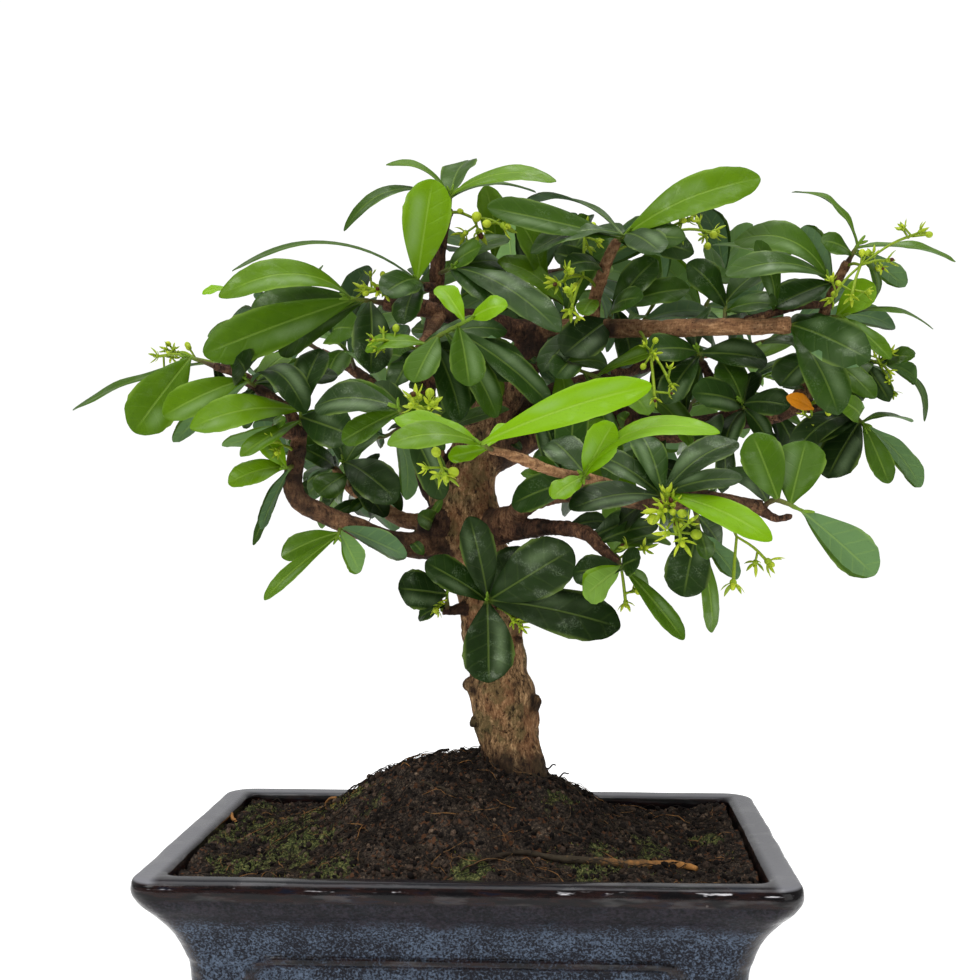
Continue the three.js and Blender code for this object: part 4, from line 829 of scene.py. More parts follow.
def shoot_way(stem):
    """A stem's way, whose root is moved to the middle of the nearest limb"""
    path = table_path(stem)
    path[0] = nearest_wood(path[0])
    return path


def spray_way(rows):
    """A spray's root on the wood, the fork of its stalk and its calyces"""
    points = sight(rows)
    root = nearest_wood(points[0])
    fork = root + (points[1:].mean(axis=0) - root) * 0.55 + (0, 0, 1.5)
    return root, fork, points[1:]


def owned(marks, owner):
    """Marks with the number of what they belong to, and a share of 1 as they have no stalk"""
    return np.hstack([marks, np.full((len(marks), 1), owner), np.ones((len(marks), 1))])


def leaf_marks(points, owner):
    """A leaf's marks: points with no girth, the leaf's owner, and how far along the leaf each is"""
    zero = np.zeros((len(points), 1))
    return np.hstack([points, zero, zero + owner, MARK_T[:, None]])


shoots = []
for name, (stem, rows) in SHOOTS.items():
    leaves = [(sight(row[:3]), *row[3:]) for row in rows]
    shoots.append((name, shoot_way(stem), LEAVES_FROM.get(name, NEAR_FROM), leaves))
for index, (name, (stem, count)) in enumerate(FAR_SHOOTS.items()):
    path = shoot_way(stem)
    shoots.append((name, path, FAR_FROM, whorl(path, count, drawer(DRAW_STEP * (index + 1)))))
sprays = {name: spray_way(rows) for name, rows in SPRAYS.items()}

placed = [owned(WOOD_MARKS, WOOD_OWNER)]
for _, path, _, _ in shoots:
    placed.append(owned(markers(path, [STEM_RADIUS] * len(path), 2), STEM_OWNER))
for number, (root, fork, calyces) in enumerate(sprays.values()):
    stalk = [STALK_RADIUS] * 2
    placed.append(owned(markers(np.array([root, fork]), stalk, 3), SPRAY_OWNER + number))
    for calyx in calyces:
        placed.append(owned(markers(np.array([fork, calyx]), stalk, 3), SPRAY_OWNER + number))
        placed.append(owned(np.append(calyx, CALYX_RADIUS * 0.8)[None], SPRAY_OWNER + number))
placed = np.concatenate(placed)
blades = {}
for owner, (name, path, start, leaves) in enumerate(shoots, start=2):
    blades[name] = {}
    for k, leaf in enumerate(leaves):
        share = start + (LAST_LEAF - start) * (k / (len(leaves) - 1))
        settled = settle(path_point(path, share), leaf, placed, owner)
        if settled:
            blade, points = settled
            blade["share"] = share
            blades[name][k] = blade
            placed = np.concatenate([placed, leaf_marks(points, owner)])


# Small dark leaves inside the crown, on the limbs: where the view shows neither leaf nor bark nor a gap

# The crown's outline in the view
CROWN_EDGE = np.array([
    (232, 292), (262, 268), (330, 262), (344, 292), (390, 290), (410, 262), (398, 214), (440, 196),
    (470, 240), (500, 232), (560, 236), (600, 250), (640, 212), (700, 206), (760, 232), (800, 232),
    (830, 262), (862, 290), (880, 350), (900, 402), (890, 420), (836, 452), (800, 496), (700, 500),
    (700, 540), (668, 570), (612, 560), (590, 590), (540, 600), (500, 590), (448, 566), (398, 556),
    (330, 520), (296, 500), (282, 452), (214, 430), (176, 418), (176, 392), (228, 374), (206, 336),
])

# Gaps that show the white behind: the middle and the two half breadths of each
OPEN_GAPS = np.array([
    (505, 487, 18, 28), (400, 453, 18, 19), (463, 215, 20, 18), (555, 212, 40, 18), (716, 564, 20, 18),
    (539, 516, 24, 11), (190, 380, 16, 14), (415, 500, 10, 14), (520, 571, 13, 22), (595, 235, 10, 14),
    (703, 215, 10, 10), (733, 223, 14, 8), (320, 390, 11, 11), (700, 310, 11, 9), (757, 494, 9, 8),
    (770, 369, 6, 12), (534, 268, 6, 9), (347, 268, 46, 20), (428, 259, 6, 12), (321, 364, 8, 6),
    (373, 442, 8, 7), (739, 449, 8, 6), (700, 329, 95, 9), (553, 570, 38, 34),
])


def seen_at(points):
    """The column and row at which a point is seen"""
    ray = points - EYE
    ahead = ray @ AHEAD
    column = VIEW_MIDDLE + VIEW_FOCAL * (ray @ RIGHT) / ahead
    row = VIEW_MIDDLE - VIEW_FOCAL * (ray @ UP) / ahead
    return np.stack([column, row], axis=-1)


def within(outline, places):
    """Which places lie inside an outline: a line to their right crosses it an odd number of times"""
    after = np.roll(outline, -1, axis=0)
    x, y = places[:, 0, None], places[:, 1, None]
    spans = (outline[:, 1] > y) != (after[:, 1] > y)
    rise = np.where(after[:, 1] == outline[:, 1], 1, after[:, 1] - outline[:, 1])
    cross = outline[:, 0] + (y - outline[:, 1]) / rise * (after[:, 0] - outline[:, 0])
    return (spans & (x < cross)).sum(axis=1) % 2 == 1


def in_crown(places):
    """Inside the crown as it is seen, and off the gaps that show the white behind it"""
    off = (places[:, None] - OPEN_GAPS[:, :2]) / OPEN_GAPS[:, 2:]
    return within(CROWN_EDGE, places) & ((off ** 2).sum(axis=-1) > 1).all(axis=1)


def inner_leaves(count, placed):
    """Leaves from the nearest limb to scattered places in the crown, each kept where it is clear"""
    draws = np.random.default_rng(HIDDEN_SEED)
    bearing = np.concatenate([markers(*WOOD_WAYS[name], 2) for name in WOOD_WAYS if name != "trunk"])
    spots = np.column_stack([draws.uniform(180, 900, 12000), draws.uniform(200, 600, 12000)])
    spots = spots[in_crown(spots)]
    depths = draws.uniform(-48, 62, len(spots))
    tips = sight(np.column_stack([spots, depths]))
    made = []
    covered = seen_at(placed[:, :3])
    for spot, tip in zip(spots, tips):
        if len(made) == count:
            break
        if len(made) < 0.7 * count and np.abs(covered - spot).sum(axis=1).min() < 5:
            continue
        away = np.linalg.norm(bearing[:, :3] - tip, axis=1)
        root = bearing[np.argmin(away)]
        if not 9 < away.min() < 36:
            continue
        face = draws.uniform(30, 80) * (-1 if tip[1] > BACK_OF_CROWN else 1)
        reach = away.min()
        leaf = (tip, reach * draws.uniform(0.34, 0.44), face, draws.uniform(0.04, 0.2))
        owner = HIDDEN_OWNER + len(made)
        settled = settle(root[:3], leaf, placed, owner, HIDDEN_GAP, LEAST_HIDDEN_GAP)
        if settled and in_crown(seen_at(settled[1])).all():
            blade, points = settled
            made.append(blade)
            placed = np.concatenate([placed, leaf_marks(points, HIDDEN_OWNER + len(made))])
            covered = np.concatenate([covered, seen_at(points)])
    return made


hidden = inner_leaves(INNER_LEAVES, placed)


# Pot


def even_steps(path, step):
    """A path cut again at even steps of its length"""
    lengths = np.linalg.norm(np.diff(path, axis=0), axis=1)
    along = np.concatenate([[0], np.cumsum(lengths)])
    places = np.linspace(0, along[-1], max(2, round(along[-1] / step)))
    return np.stack([np.interp(places, along, path[:, k]) for k in range(path.shape[1])], axis=1)


def stations(half, special, coarse, fine):
    """Shares from -1 to 1 along a side: coarse steps, and fine ones round the upright beads of its panel"""
    near = np.arange(-4.5, 4.5, fine)
    marks = np.concatenate([np.arange(-half, half, coarse), special + near, -special + near])
    marks = np.unique(np.round(marks / half, 4))
    marks = marks[np.abs(marks) < 0.995]
    kept = marks[np.concatenate([[True], np.diff(marks) > 0.35 * fine / half])]
    sided = kept[kept > 0.2 * coarse / half]
    return np.concatenate([-sided[::-1], [0], sided])


LONG_SHARES = stations(77.6, 66.6, 2.0, 0.45)
SHORT_SHARES = stations(50.6, 40.6, 2.0, 0.45)
CORNER_SHARES = np.linspace(0, math.pi / 2, 11)


def pot_ring(inset, corner):
    """Once round a rectangle with round corners, from the middle of its front, and the way that it faces"""
    x, y = POT_LENGTH / 2 - inset - corner, POT_WIDTH / 2 - inset - corner
    points, facing = [], []
    front = LONG_SHARES[LONG_SHARES >= 0]
    sides = [
        (front, (x, 0), (0, -y - corner), -90), (SHORT_SHARES, (0, y), (x + corner, 0), 0),
        (LONG_SHARES, (-x, 0), (0, y + corner), 90), (SHORT_SHARES, (0, -y), (-x - corner, 0), 180),
        (LONG_SHARES[LONG_SHARES < 0], (x, 0), (0, -y - corner), 270),
    ]
    middles = [(x, -y), (x, y), (-x, y), (-x, -y)]
    for k, (shares, way, start, turn) in enumerate(sides):
        points.append(np.outer(shares, way) + start)
        facing.append(np.full(len(shares), math.radians(turn)))
        if k < 4:
            angle = math.radians(turn) + CORNER_SHARES
            points.append(np.stack([np.cos(angle), np.sin(angle)], axis=1) * corner + middles[k])
            facing.append(angle)
    return np.concatenate(points), np.concatenate(facing)


def panel_bead(u, z, length, spread=0.25):
    """How much of the bead round a panel is at a place: a half round over the outline of a rectangle"""
    height = PANEL_TOP - PANEL_BOTTOM
    corner = PANEL_CORNER - BEAD_WIDTH / 2
    x = np.abs(u) - (length - BEAD_WIDTH) / 2 + corner
    y = np.abs(z - PANEL_BOTTOM - height / 2) - (height - BEAD_WIDTH) / 2 + corner
    outside = np.hypot(np.maximum(x, 0), np.maximum(y, 0)) + np.minimum(np.maximum(x, y), 0) - corner
    return np.sqrt(np.maximum(1 - (outside / (BEAD_WIDTH / 2 + spread)) ** 2, 0))


def drained_floor(shape, ring, height, **values):
    """A floor in two halves, each a fan from its drain hole out to the wall and the middle line"""
    half = len(ring) // 2
    line = np.linspace(ring[half], ring[0], 26)[1:-1]
    for side, edge in ((1, ring[:half + 1]), (-1, np.concatenate([ring[half:], ring[:1]])[::-1])):
        bound = np.concatenate([edge, line])
        hole = np.array([side * DRAIN_SPACING / 2, 0])
        rim = hole + unit(bound - hole) * DRAIN_RADIUS
        share = np.linspace(0, 1, 5)[:, None, None]
        fan = rim + (bound - rim) * share
        grid = np.concatenate([fan, np.full((*fan.shape[:2], 1), float(height))], axis=2)
        shape.lay(grid, closed=False, **values)
        yield rim


def make_pot():
    """A profile of insets and heights, smoothed, is carried round a rectangle with round corners. The beads
    stand out of its wall, and its glaze runs thin on edges, which the value bare holds"""
    shape = Shape("bare", "inside")
    profile = swept(np.array(WALL_OUTSIDE + WALL_INSIDE), 10)
    split = 10 * (len(WALL_OUTSIDE) + 1)
    outside = even_steps(profile[:split], OUTSIDE_STEP)
    rows = np.concatenate([outside, even_steps(profile[split - 1:], INSIDE_STEP)[1:]])
    rings, bare, depth = [], [], []
    lip = len(outside)
    for k, (inset, height) in enumerate(rows):
        left = max(0, 1 - (k - lip + LIP_ROWS) / LIP_ROWS)
        corner = OUTER_CORNER if k < lip - LIP_ROWS else INNER_CORNER + (OUTER_CORNER - INNER_CORNER) * left
        points, facing = pot_ring(inset, corner)
        outward = np.stack([np.cos(facing), np.sin(facing)], axis=1)
        level = np.full(len(points), float(height))
        bead, glow = np.zeros((2, len(points)))
        if k < lip - LIP_ROWS:
            front = np.abs(np.sin(facing)) > 0.999
            end = np.abs(np.cos(facing)) > 0.999
            bead[front] = panel_bead(points[front, 0], level[front], PANEL_LENGTH)
            bead[end] = panel_bead(points[end, 1], level[end], PANEL_WIDTH)
            glow[front] = panel_bead(points[front, 0], level[front], PANEL_LENGTH, 1.3)
            glow[end] = panel_bead(points[end, 1], level[end], PANEL_WIDTH, 1.3)
        spots = np.column_stack([points, level])
        uneven = 0.22 * drift(spots, 14, 3) + 0.1 * drift(spots, 5, 4)
        points = points + outward * (BEAD_RISE * bead + uneven * (height > 8))[:, None]
        rings.append(np.column_stack([points, level + 0.18 * drift(spots, 22, 5) * (height > 60)]))
        edge = math.exp(-(((height - 70.6) / 1.5) ** 2)) * (inset < 3)
        turned = np.abs(np.sin(2 * facing)) * 0.55 * (k < lip)
        bare.append(np.clip(np.maximum(np.maximum(glow * 0.6, edge), turned), 0, 1))
        depth.append(np.full(len(points), float(k >= lip)))
    shape.lay(np.array(rings), closed=False, bare=np.array(bare), inside=np.array(depth))
    under = list(drained_floor(shape, rings[0][:, :2], rings[0][0, 2], bare=1))
    over = list(drained_floor(shape, rings[-1][:, :2], rings[-1][0, 2], inside=1))
    for low, high in zip(under, over):
        walls = []
        for s in (0, 0.5, 1):
            level = rings[0][0, 2] * (1 - s) + rings[-1][0, 2] * s
            walls.append(np.column_stack([low + (high - low) * s, np.full(len(low), level)]))
        shape.lay(np.array(walls), closed=False, inside=1)
    for sx in (-1, 1):
        for sy in (-1, 1):
            foot = []
            for length, width, height in FOOT_PROFILE:
                ring = round_plate(length, width, 5, 7) + (FOOT_SPOT[0] * sx, FOOT_SPOT[1] * sy)
                foot.append(np.column_stack([ring, np.full(len(ring), height)]))
            foot = np.array(foot, float)
            shape.lay(foot, bare=np.clip(1.6 - foot[..., 2] / 1.2, 0, 1))
    mesh = shape.mesh("pot_body")
    weld(mesh)
    return mesh


def round_plate(half_length, half_width, corner, steps):
    """Once round a small rectangle with round corners"""
    made = []
    for quarter, (sx, sy) in enumerate(((1, 1), (-1, 1), (-1, -1), (1, -1))):
        angle = math.pi / 2 * (quarter + np.arange(steps + 1) / steps)
        middle = (sx * (half_length - corner), sy * (half_width - corner))
        made.append(np.stack([np.cos(angle), np.sin(angle)], axis=1) * corner + middle)
    return np.concatenate(made)


def weld(mesh):
    """Joins the points that meet and turns every face outwards"""
    whole = bmesh.new()
    whole.from_mesh(mesh)
    bmesh.ops.remove_doubles(whole, verts=whole.verts, dist=0.00001)
    bmesh.ops.recalc_face_normals(whole, faces=whole.faces)
    whole.to_mesh(mesh)
    whole.free()


# Soil


def soil_height(x, y):
    """The level of the peat: a bell-shaped mound round the trunk, two slow waves, and a rise to each end of
    the pot"""
    across, back = (x - MOUND_CENTRE[0]) / MOUND_SPREAD[0], (y - MOUND_CENTRE[1]) / MOUND_SPREAD[1]
    mound = MOUND_RISE * np.exp(-((across ** 2 + back ** 2) ** 1.15))
    ends = np.exp(-(((POT_LENGTH / 2 - SOIL_INSET - np.abs(x)) / 9) ** 2))
    waves = 0.9 * np.sin(x / 6.1 + y / 9.3) + 0.7 * np.sin(x / 11.7 - y / 5.3 + 1.1)
    return SOIL_LEVEL + mound + 2.2 * ends + waves * (1 - 0.6 * ends)


def clods(points, size, seed, chance):
    """Round clods: the height of balls set on scattered seeds, with a chance that a seed has one"""
    near, number = pebbles(points, size, seed)
    return np.sqrt(np.maximum(1 - (near / 0.58) ** 2, 0)) * (number < 2 * chance - 1)


def from_root(x, y):
    """How far a place is from the surface root's middle line"""
    away = np.full(x.shape, 99.0)
    for mark in swept(np.array(ROOT_WAY, float), 6):
        away = np.minimum(away, np.hypot(x - mark[0], y - mark[1]))
    return away


def peat_relief(x, y):
    """Clods of three sizes on slow heaps, pressed down along the surface root"""
    spots = np.stack([x, y], axis=-1)
    bare = np.clip((from_root(x, y) - 2.2) / 2.2, 0.05, 1)
    heaps = 0.9 * drift(spots, 11, 21) + 0.5 * drift(spots, 5, 22)
    large = 1.7 * clods(spots, 5.2, 31, 0.4)
    middling = 1.25 * clods(spots, 2.7, 41, 0.6)
    return (heaps + np.maximum(large, middling) + 0.7 * clods(spots, 1.5, 51, 0.65)) * bare


def on_soil(places):
    """Where the sight line through a column and row first meets the peat, or passes nearest over it"""
    places = np.asarray(places, float)
    depths = np.arange(-66, 64, 0.5)
    rays = np.empty((len(places), len(depths), 3))
    rays[..., 0], rays[..., 1], rays[..., 2] = places[:, :1], places[:, 1:2], depths
    points = sight(rays)
    over = points[..., 2] - soil_height(points[..., 0], points[..., 1])
    met = np.where((over < 0).any(axis=1), np.argmax(over < 0, axis=1), np.argmin(over, axis=1))
    return points[np.arange(len(places)), met]


MOSS_SPOTS = on_soil([
    (232, 838), (262, 826), (300, 822), (285, 850), (345, 803), (318, 838), (245, 862), (330, 868),
    (240, 808), (655, 852), (700, 842), (610, 862), (590, 868), (470, 868), (560, 800),
])
MOSS_SIZES = np.array([19, 19, 15, 18, 12, 11, 15, 10, 13, 7, 7, 9, 9, 6, 6])


def moss_share(x, y):
    """How mossy a place is: bells round the moss spots, broken up by drift"""
    spots = np.stack([x, y], axis=-1)
    away = np.linalg.norm(spots[..., None, :] - MOSS_SPOTS[:, :2], axis=-1) / MOSS_SIZES
    bells = np.exp(-(away ** 2)).max(axis=-1)
    return np.clip(bells * 1.5 - 0.35 + 0.55 * drift(spots, 6, 61) + 0.3 * drift(spots, 2.2, 62), 0, 1)


def soil_outline(share_x, share_y, inset):
    """A square of shares from -1 to 1 laid on a rectangle whose corners are rounded by bending both ways"""
    half = np.array([POT_LENGTH / 2 - inset, POT_WIDTH / 2 - inset])
    place = np.stack([share_x, share_y], axis=-1) * half
    past = np.clip((np.abs(place) - (half - INNER_CORNER)) / INNER_CORNER, 0, 1)
    bent = past * np.sqrt(1 - past[..., ::-1] ** 2 / 2)
    return np.sign(place) * (np.abs(place) - past * INNER_CORNER + bent * INNER_CORNER)


def make_soil():
    """The peat's top is a grid of heights; its sides follow the pot's wall down to the floor"""
    shape = Shape("moss")
    share_x, share_y = np.meshgrid(np.linspace(-1, 1, 301), np.linspace(-1, 1, 211))
    top = soil_outline(share_x, share_y, SOIL_INSET)
    x, y = top[..., 0], top[..., 1]
    height = soil_height(x, y) + peat_relief(x, y) - 0.7
    shape.lay(np.dstack([x, y, height]), closed=False, ringed=False, moss=moss_share(x, y))
    edge = np.concatenate([
        np.column_stack([share_x[0], share_y[0]]), np.column_stack([share_x[:, -1], share_y[:, -1]])[1:],
        np.column_stack([share_x[-1], share_y[-1]])[::-1][1:],
        np.column_stack([share_x[:, 0], share_y[:, 0]])[::-1][1:-1],
    ])
    rim = np.concatenate([height[0], height[1:, -1], height[-1, ::-1][1:], height[::-1, 0][1:-1]])
    rows = [np.column_stack([soil_outline(edge[:, 0], edge[:, 1], SOIL_INSET), rim])]
    for row_inset, level in ((11.8, 58), (16.9, 50), (20.9, 40), (22.9, 26), (23.4, 13.9)):
        ring = soil_outline(edge[:, 0], edge[:, 1], row_inset)
        rows.append(np.column_stack([ring, np.full(len(ring), level)]))
    for share in (0.75, 0.5, 0.25, 0.01):
        rows.append(rows[5] * (share, share, 1))
    shape.lay(np.array(rows), closed=False)
    mesh = shape.mesh("peat_mound")
    weld(mesh)
    return mesh


def scattered(shape, template, faces, middles, turns, sizes, **values):
    """Many copies of one small form: each is stretched, turned about three axes and moved to its middle"""
    copies = template[None] * sizes[:, None]
    copies = np.einsum("nij,nkj->nki", turns, copies) + middles[:, None]
    shape.copies(copies, faces, **values)


def random_turns(count, draws):
    """Turns in any direction, from four even draws that are made a unit quaternion"""
    w, x, y, z = unit(draws.normal(size=(count, 4))).T
    return np.stack([
        np.stack([1 - 2 * (y * y + z * z), 2 * (x * y - z * w), 2 * (x * z + y * w)], axis=-1),
        np.stack([2 * (x * y + z * w), 1 - 2 * (x * x + z * z), 2 * (y * z - x * w)], axis=-1),
        np.stack([2 * (x * z - y * w), 2 * (y * z + x * w), 1 - 2 * (x * x + y * y)], axis=-1),
    ], axis=1)


def twenty_faces():
    """The twelve corners and twenty faces of the round solid with five faces at each corner"""
    golden = (1 + 5 ** 0.5) / 2
    corners = np.array([[0, s, t * golden] for s in (-1, 1) for t in (-1, 1)], float)
    corners = np.concatenate([corners, np.roll(corners, 1, axis=1), np.roll(corners, 2, axis=1)])
    away = np.linalg.norm(corners[:, None] - corners[None], axis=-1)
    faces = [(i, j, k) for i in range(12) for j in range(i + 1, 12) for k in range(j + 1, 12)
             if away[i, j] < 2.1 and away[j, k] < 2.1 and away[i, k] < 2.1]
    outward = [np.cross(corners[j] - corners[i], corners[k] - corners[i]) @ corners[i] for i, j, k in faces]
    faces = np.array([(i, j, k) if out > 0 else (i, k, j) for (i, j, k), out in zip(faces, outward)])
    return unit(corners), faces


def spots_on_soil(count, draws, margin=14):
    """Scattered places on the peat, and their heights"""
    x = draws.uniform(-POT_LENGTH / 2 + margin, POT_LENGTH / 2 - margin, count)
    y = draws.uniform(-POT_WIDTH / 2 + margin, POT_WIDTH / 2 - margin, count)
    return np.stack([x, y, soil_height(x, y) + peat_relief(x, y) - 0.7], axis=-1)


def make_crumbs():
    """Loose crumbs of peat and bark: squashed twenty-sided pellets"""
    draws = np.random.default_rng(CRUMB_SEED)
    shape = Shape("shade")
    corners, faces = twenty_faces()
    middles = spots_on_soil(CRUMBS, draws)
    size = 0.3 + 0.85 * draws.random(CRUMBS) ** 3
    size *= np.clip((from_root(middles[:, 0], middles[:, 1]) - 2.4) / 1.5, 0.2, 1)
    sizes = size[:, None] * draws.uniform(0.55, 1.5, (CRUMBS, 3))
    middles[:, 2] += 0.25 * size
    turns = random_turns(CRUMBS, draws)
    scattered(shape, corners, faces, middles, turns, sizes, shade=draws.random(CRUMBS))
    return shape.mesh("peat_crumbs")


# Long strands and sticks on the peat: thickness, shade, and the columns and rows that they pass
STRANDS = [
    (0.4, 0.7, [(420, 784), (436, 788), (452, 795), (466, 800), (478, 805)]),
    (0.45, 0.5, [(446, 882), (462, 872), (476, 865), (490, 861), (503, 859)]),
    (0.4, 0.6, [(330, 845), (352, 838), (378, 842), (400, 851)]),
    (0.35, 0.6, [(512, 842), (540, 832), (566, 834), (590, 842), (604, 838)]),
    (0.35, 0.7, [(620, 822), (640, 826), (662, 838), (690, 846)]),
    (0.7, 1.0, [(229, 802), (230, 810), (232, 818), (236, 824)]),
    (0.6, 0.95, [(318, 812), (326, 804), (336, 798)]),
    (0.7, 0.25, [(396, 771), (414, 764), (432, 757), (449, 750)]),
    (0.5, 0.2, [(438, 769), (452, 762), (464, 755)]),
    (0.7, 0.15, [(474, 764), (480, 753), (484, 744)]),
    (0.55, 0.15, [(466, 760), (478, 755), (489, 748)]),
    (0.6, 0.15, [(487, 768), (488, 754), (486, 743)]),
    (0.3, 0.3, [(541, 772), (549, 769), (556, 766)]),
    (0.3, 0.4, [(553, 782), (561, 777), (569, 774)]),
]


def make_fibres():
    """Peat fibres and fine roots: thin tubes that wander over the peat, and a few long strands"""
    draws = np.random.default_rng(FIBRE_SEED)
    shape = Shape("shade")
    for start in spots_on_soil(FIBRES, draws, 16):
        length, heading = draws.uniform(4, 17), draws.uniform(0, 2 * math.pi)
        bend = draws.normal(0, 0.3, 6).cumsum() + heading
        step = length / 6
        stretches = np.stack([np.cos(bend), np.sin(bend)], axis=1) * step
        way = start[:2] + np.concatenate([[(0, 0)], np.cumsum(stretches, axis=0)])
        way = np.clip(way, (-89, -62), (89, 62))
        lift = 0.5 + np.sin(np.linspace(0, math.pi, 7)) * draws.uniform(0.2, 1.8)
        level = soil_height(way[:, 0], way[:, 1]) + 0.5 * peat_relief(way[:, 0], way[:, 1])
        path = np.column_stack([way, level + lift])
        radii = draws.uniform(0.07, 0.19) * np.array([0.5, 0.9, 1, 1, 1, 0.8, 0.3])
        shape.lay(tube_rings(path, radii, 3), shade=0.9 * draws.random() ** 1.5)
    for number, (girth, shade, rows) in enumerate(STRANDS):
        path = swept(on_soil(rows), 5)
        path[:, 2] += 0.6 + 0.4 * np.sin(np.arange(len(path)) * 1.1 + number)
        swell = 0.5 + 0.5 * np.sin(np.linspace(0.3, 2.8, len(path)))
        shape.lay(tube_rings(path, swell * girth, 8), shade=shade)
    return shape.mesh("peat_fibres")


def make_moss():
    """Moss: tufts of tiny spikes, three-sided and leaning, thickest where the peat is mossy"""
    draws = np.random.default_rng(MOSS_SEED)
    spots = spots_on_soil(30000, draws, 15)
    kept = draws.random(len(spots)) < moss_share(spots[:, 0], spots[:, 1]) * 0.85
    spots = spots[kept][:MOSS_TUFTS]
    count = len(spots)
    template = np.array([(1, 0, 0), (-0.5, 0.87, 0), (-0.5, -0.87, 0), (0.3, 0, 1)], float)
    faces = np.array([(0, 1, 3), (1, 2, 3), (2, 0, 3), (0, 2, 1)])
    lean = draws.normal(0, 0.55, (count, 2))
    up = unit(np.column_stack([lean, np.ones(count)]))
    side = unit(np.cross(up, draws.normal(size=(count, 3))))
    turns = np.stack([side, np.cross(up, side), up], axis=-1)
    height = draws.uniform(0.5, 1.5, count)
    sizes = np.stack([0.18 + 0.07 * height, 0.18 + 0.07 * height, height], axis=-1)
    shape = Shape("shade")
    ochre = np.exp(-(np.linalg.norm(spots[:, :2] - MOSS_SPOTS[4, :2], axis=1) / 13) ** 2)
    shade = draws.random(count) + 0.7 * ochre
    scattered(shape, template, faces, spots - (0, 0, 0.25), turns, sizes, shade=shade)
    return shape.mesh("moss_tufts")


def make_surface_root():
    """A root half sunk in the peat: thickest past its middle, wandering a little"""
    way = np.array([(x, y, soil_height(x, y)) for x, y in ROOT_WAY])
    path = swept(way, 8)
    share = (np.arange(len(path)) + 0.5) / len(path)
    uneven = 1 + 0.12 * np.sin(share * 41) + 0.08 * np.sin(share * 97)
    radii = 1.6 * (0.4 + 0.6 * np.sin(math.pi * share ** 1.6)) * uneven
    path[:, 2] += 0.5 + 0.3 * np.sin(share * 21)
    shape = Shape("shade")
    shape.lay(tube_rings(path, radii, 12), shade=(0.55 + 0.45 * share)[:, None])
    return shape.mesh("root_strand")


# Wood


# Knobs and scars: a place and a size
KNOBS = [
    ((536, 702, -3), 4.4), ((534, 709, -4), 3.2), ((469, 684, -4), 4.0), ((472, 691, -6), 3.0),
    ((474, 722, -5), 3.2), ((519, 640, -8), 2.6), ((482, 640, -8), 2.4), ((436, 520, -6), 6.5),
    ((425, 526, -9), 5.2), ((431, 534, -8), 4.4), ((498, 596, -9), 4.0), ((452, 552, -8), 4.6),
    ((470, 505, -8), 4.2), ((300, 500, -26), 5.2), ((294, 478, -27), 4.6), ((300, 452, -26), 4.4),
    ((352, 524, -20), 4.6), ((396, 540, -15), 5.2), ((300, 432, -25), 4.2), ((545, 338, 3), 8.2),
    ((538, 350, 3), 7.6), ((612, 330, -8), 4.4), ((700, 328, -15), 4.2), ((455, 318, -9), 4.4),
    ((700, 500, -58), 4.6), ((640, 499, -55), 4.0), ((546, 527, -28), 4.2), ((556, 431, 8), 7.2),
    ((742, 418, 6), 6.2), ((506, 764, -8), 7), ((535, 768, 0), 6), ((486, 768, -2), 6),
]

# How pale and bare a limb's bark is
PALE_WOOD = {
    "bar_right": 1.0, "front_twig": 0.9, "left_back": 0.7, "top_spur": 0.7, "mid_twig": 0.5, "right_up": 0.4,
    "left_limb": 0.35, "front_limb": 0.3,
}


def limb_rings(path, radii, sides):
    """Rings along a limb: its way and girth smoothed, with a collar where it leaves the wood that bears it"""
    way = swept(np.column_stack([path, radii]), 7)
    points, girth = way[:, :3], way[:, 3]
    run = np.concatenate([[0], np.cumsum(np.linalg.norm(np.diff(points, axis=0), axis=1))])
    collar = 1 + 0.22 * np.exp(-((run / (2.2 * girth[0])) ** 2))
    uneven = 1 + 0.07 * drift(points, 7, 101) + 0.05 * drift(points, 3, 102)
    points = points + 0.12 * girth[:, None] * np.stack([drift(points, 9, 103 + k) for k in range(3)], axis=-1)
    return tube_rings(points, girth * collar * uneven, sides)


def joined(shape, voxel, smooth):
    """One skin over all the overlapping solids of a shape: Blender's voxel remesh, then smoothed"""
    rough = bpy.data.objects.new("rough", shape.mesh("rough"))
    bpy.context.scene.collection.objects.link(rough)
    skin = rough.modifiers.new("skin", "REMESH")
    skin.mode = "VOXEL"
    skin.voxel_size = voxel * MM
    ease = rough.modifiers.new("ease", "SMOOTH")
    ease.factor, ease.iterations = 0.5, smooth
    view = bpy.context.evaluated_depsgraph_get()
    done = rough.evaluated_get(view)
    mesh = bpy.data.meshes.new_from_object(done, preserve_all_data_layers=False, depsgraph=view)
    bpy.data.objects.remove(rough)
    return mesh


def nearest_stretch(points):
    """The girth and paleness of the nearest stretch of wood, found for a few thousand points at a time"""
    found = np.empty((len(points), 2))
    marks = np.concatenate([
        np.pad(markers(path, radii, 5), ((0, 0), (0, 1)), constant_values=PALE_WOOD.get(name, 0))
        for name, (path, radii) in WOOD_WAYS.items()
    ])
    for start in range(0, len(points), 4000):
        part = points[start:start + 4000]
        away = np.linalg.norm(part[:, None] - marks[:, :3], axis=-1) - marks[:, 3]
        found[start:start + 4000] = marks[np.argmin(away, axis=1), 3:]
    return found.T


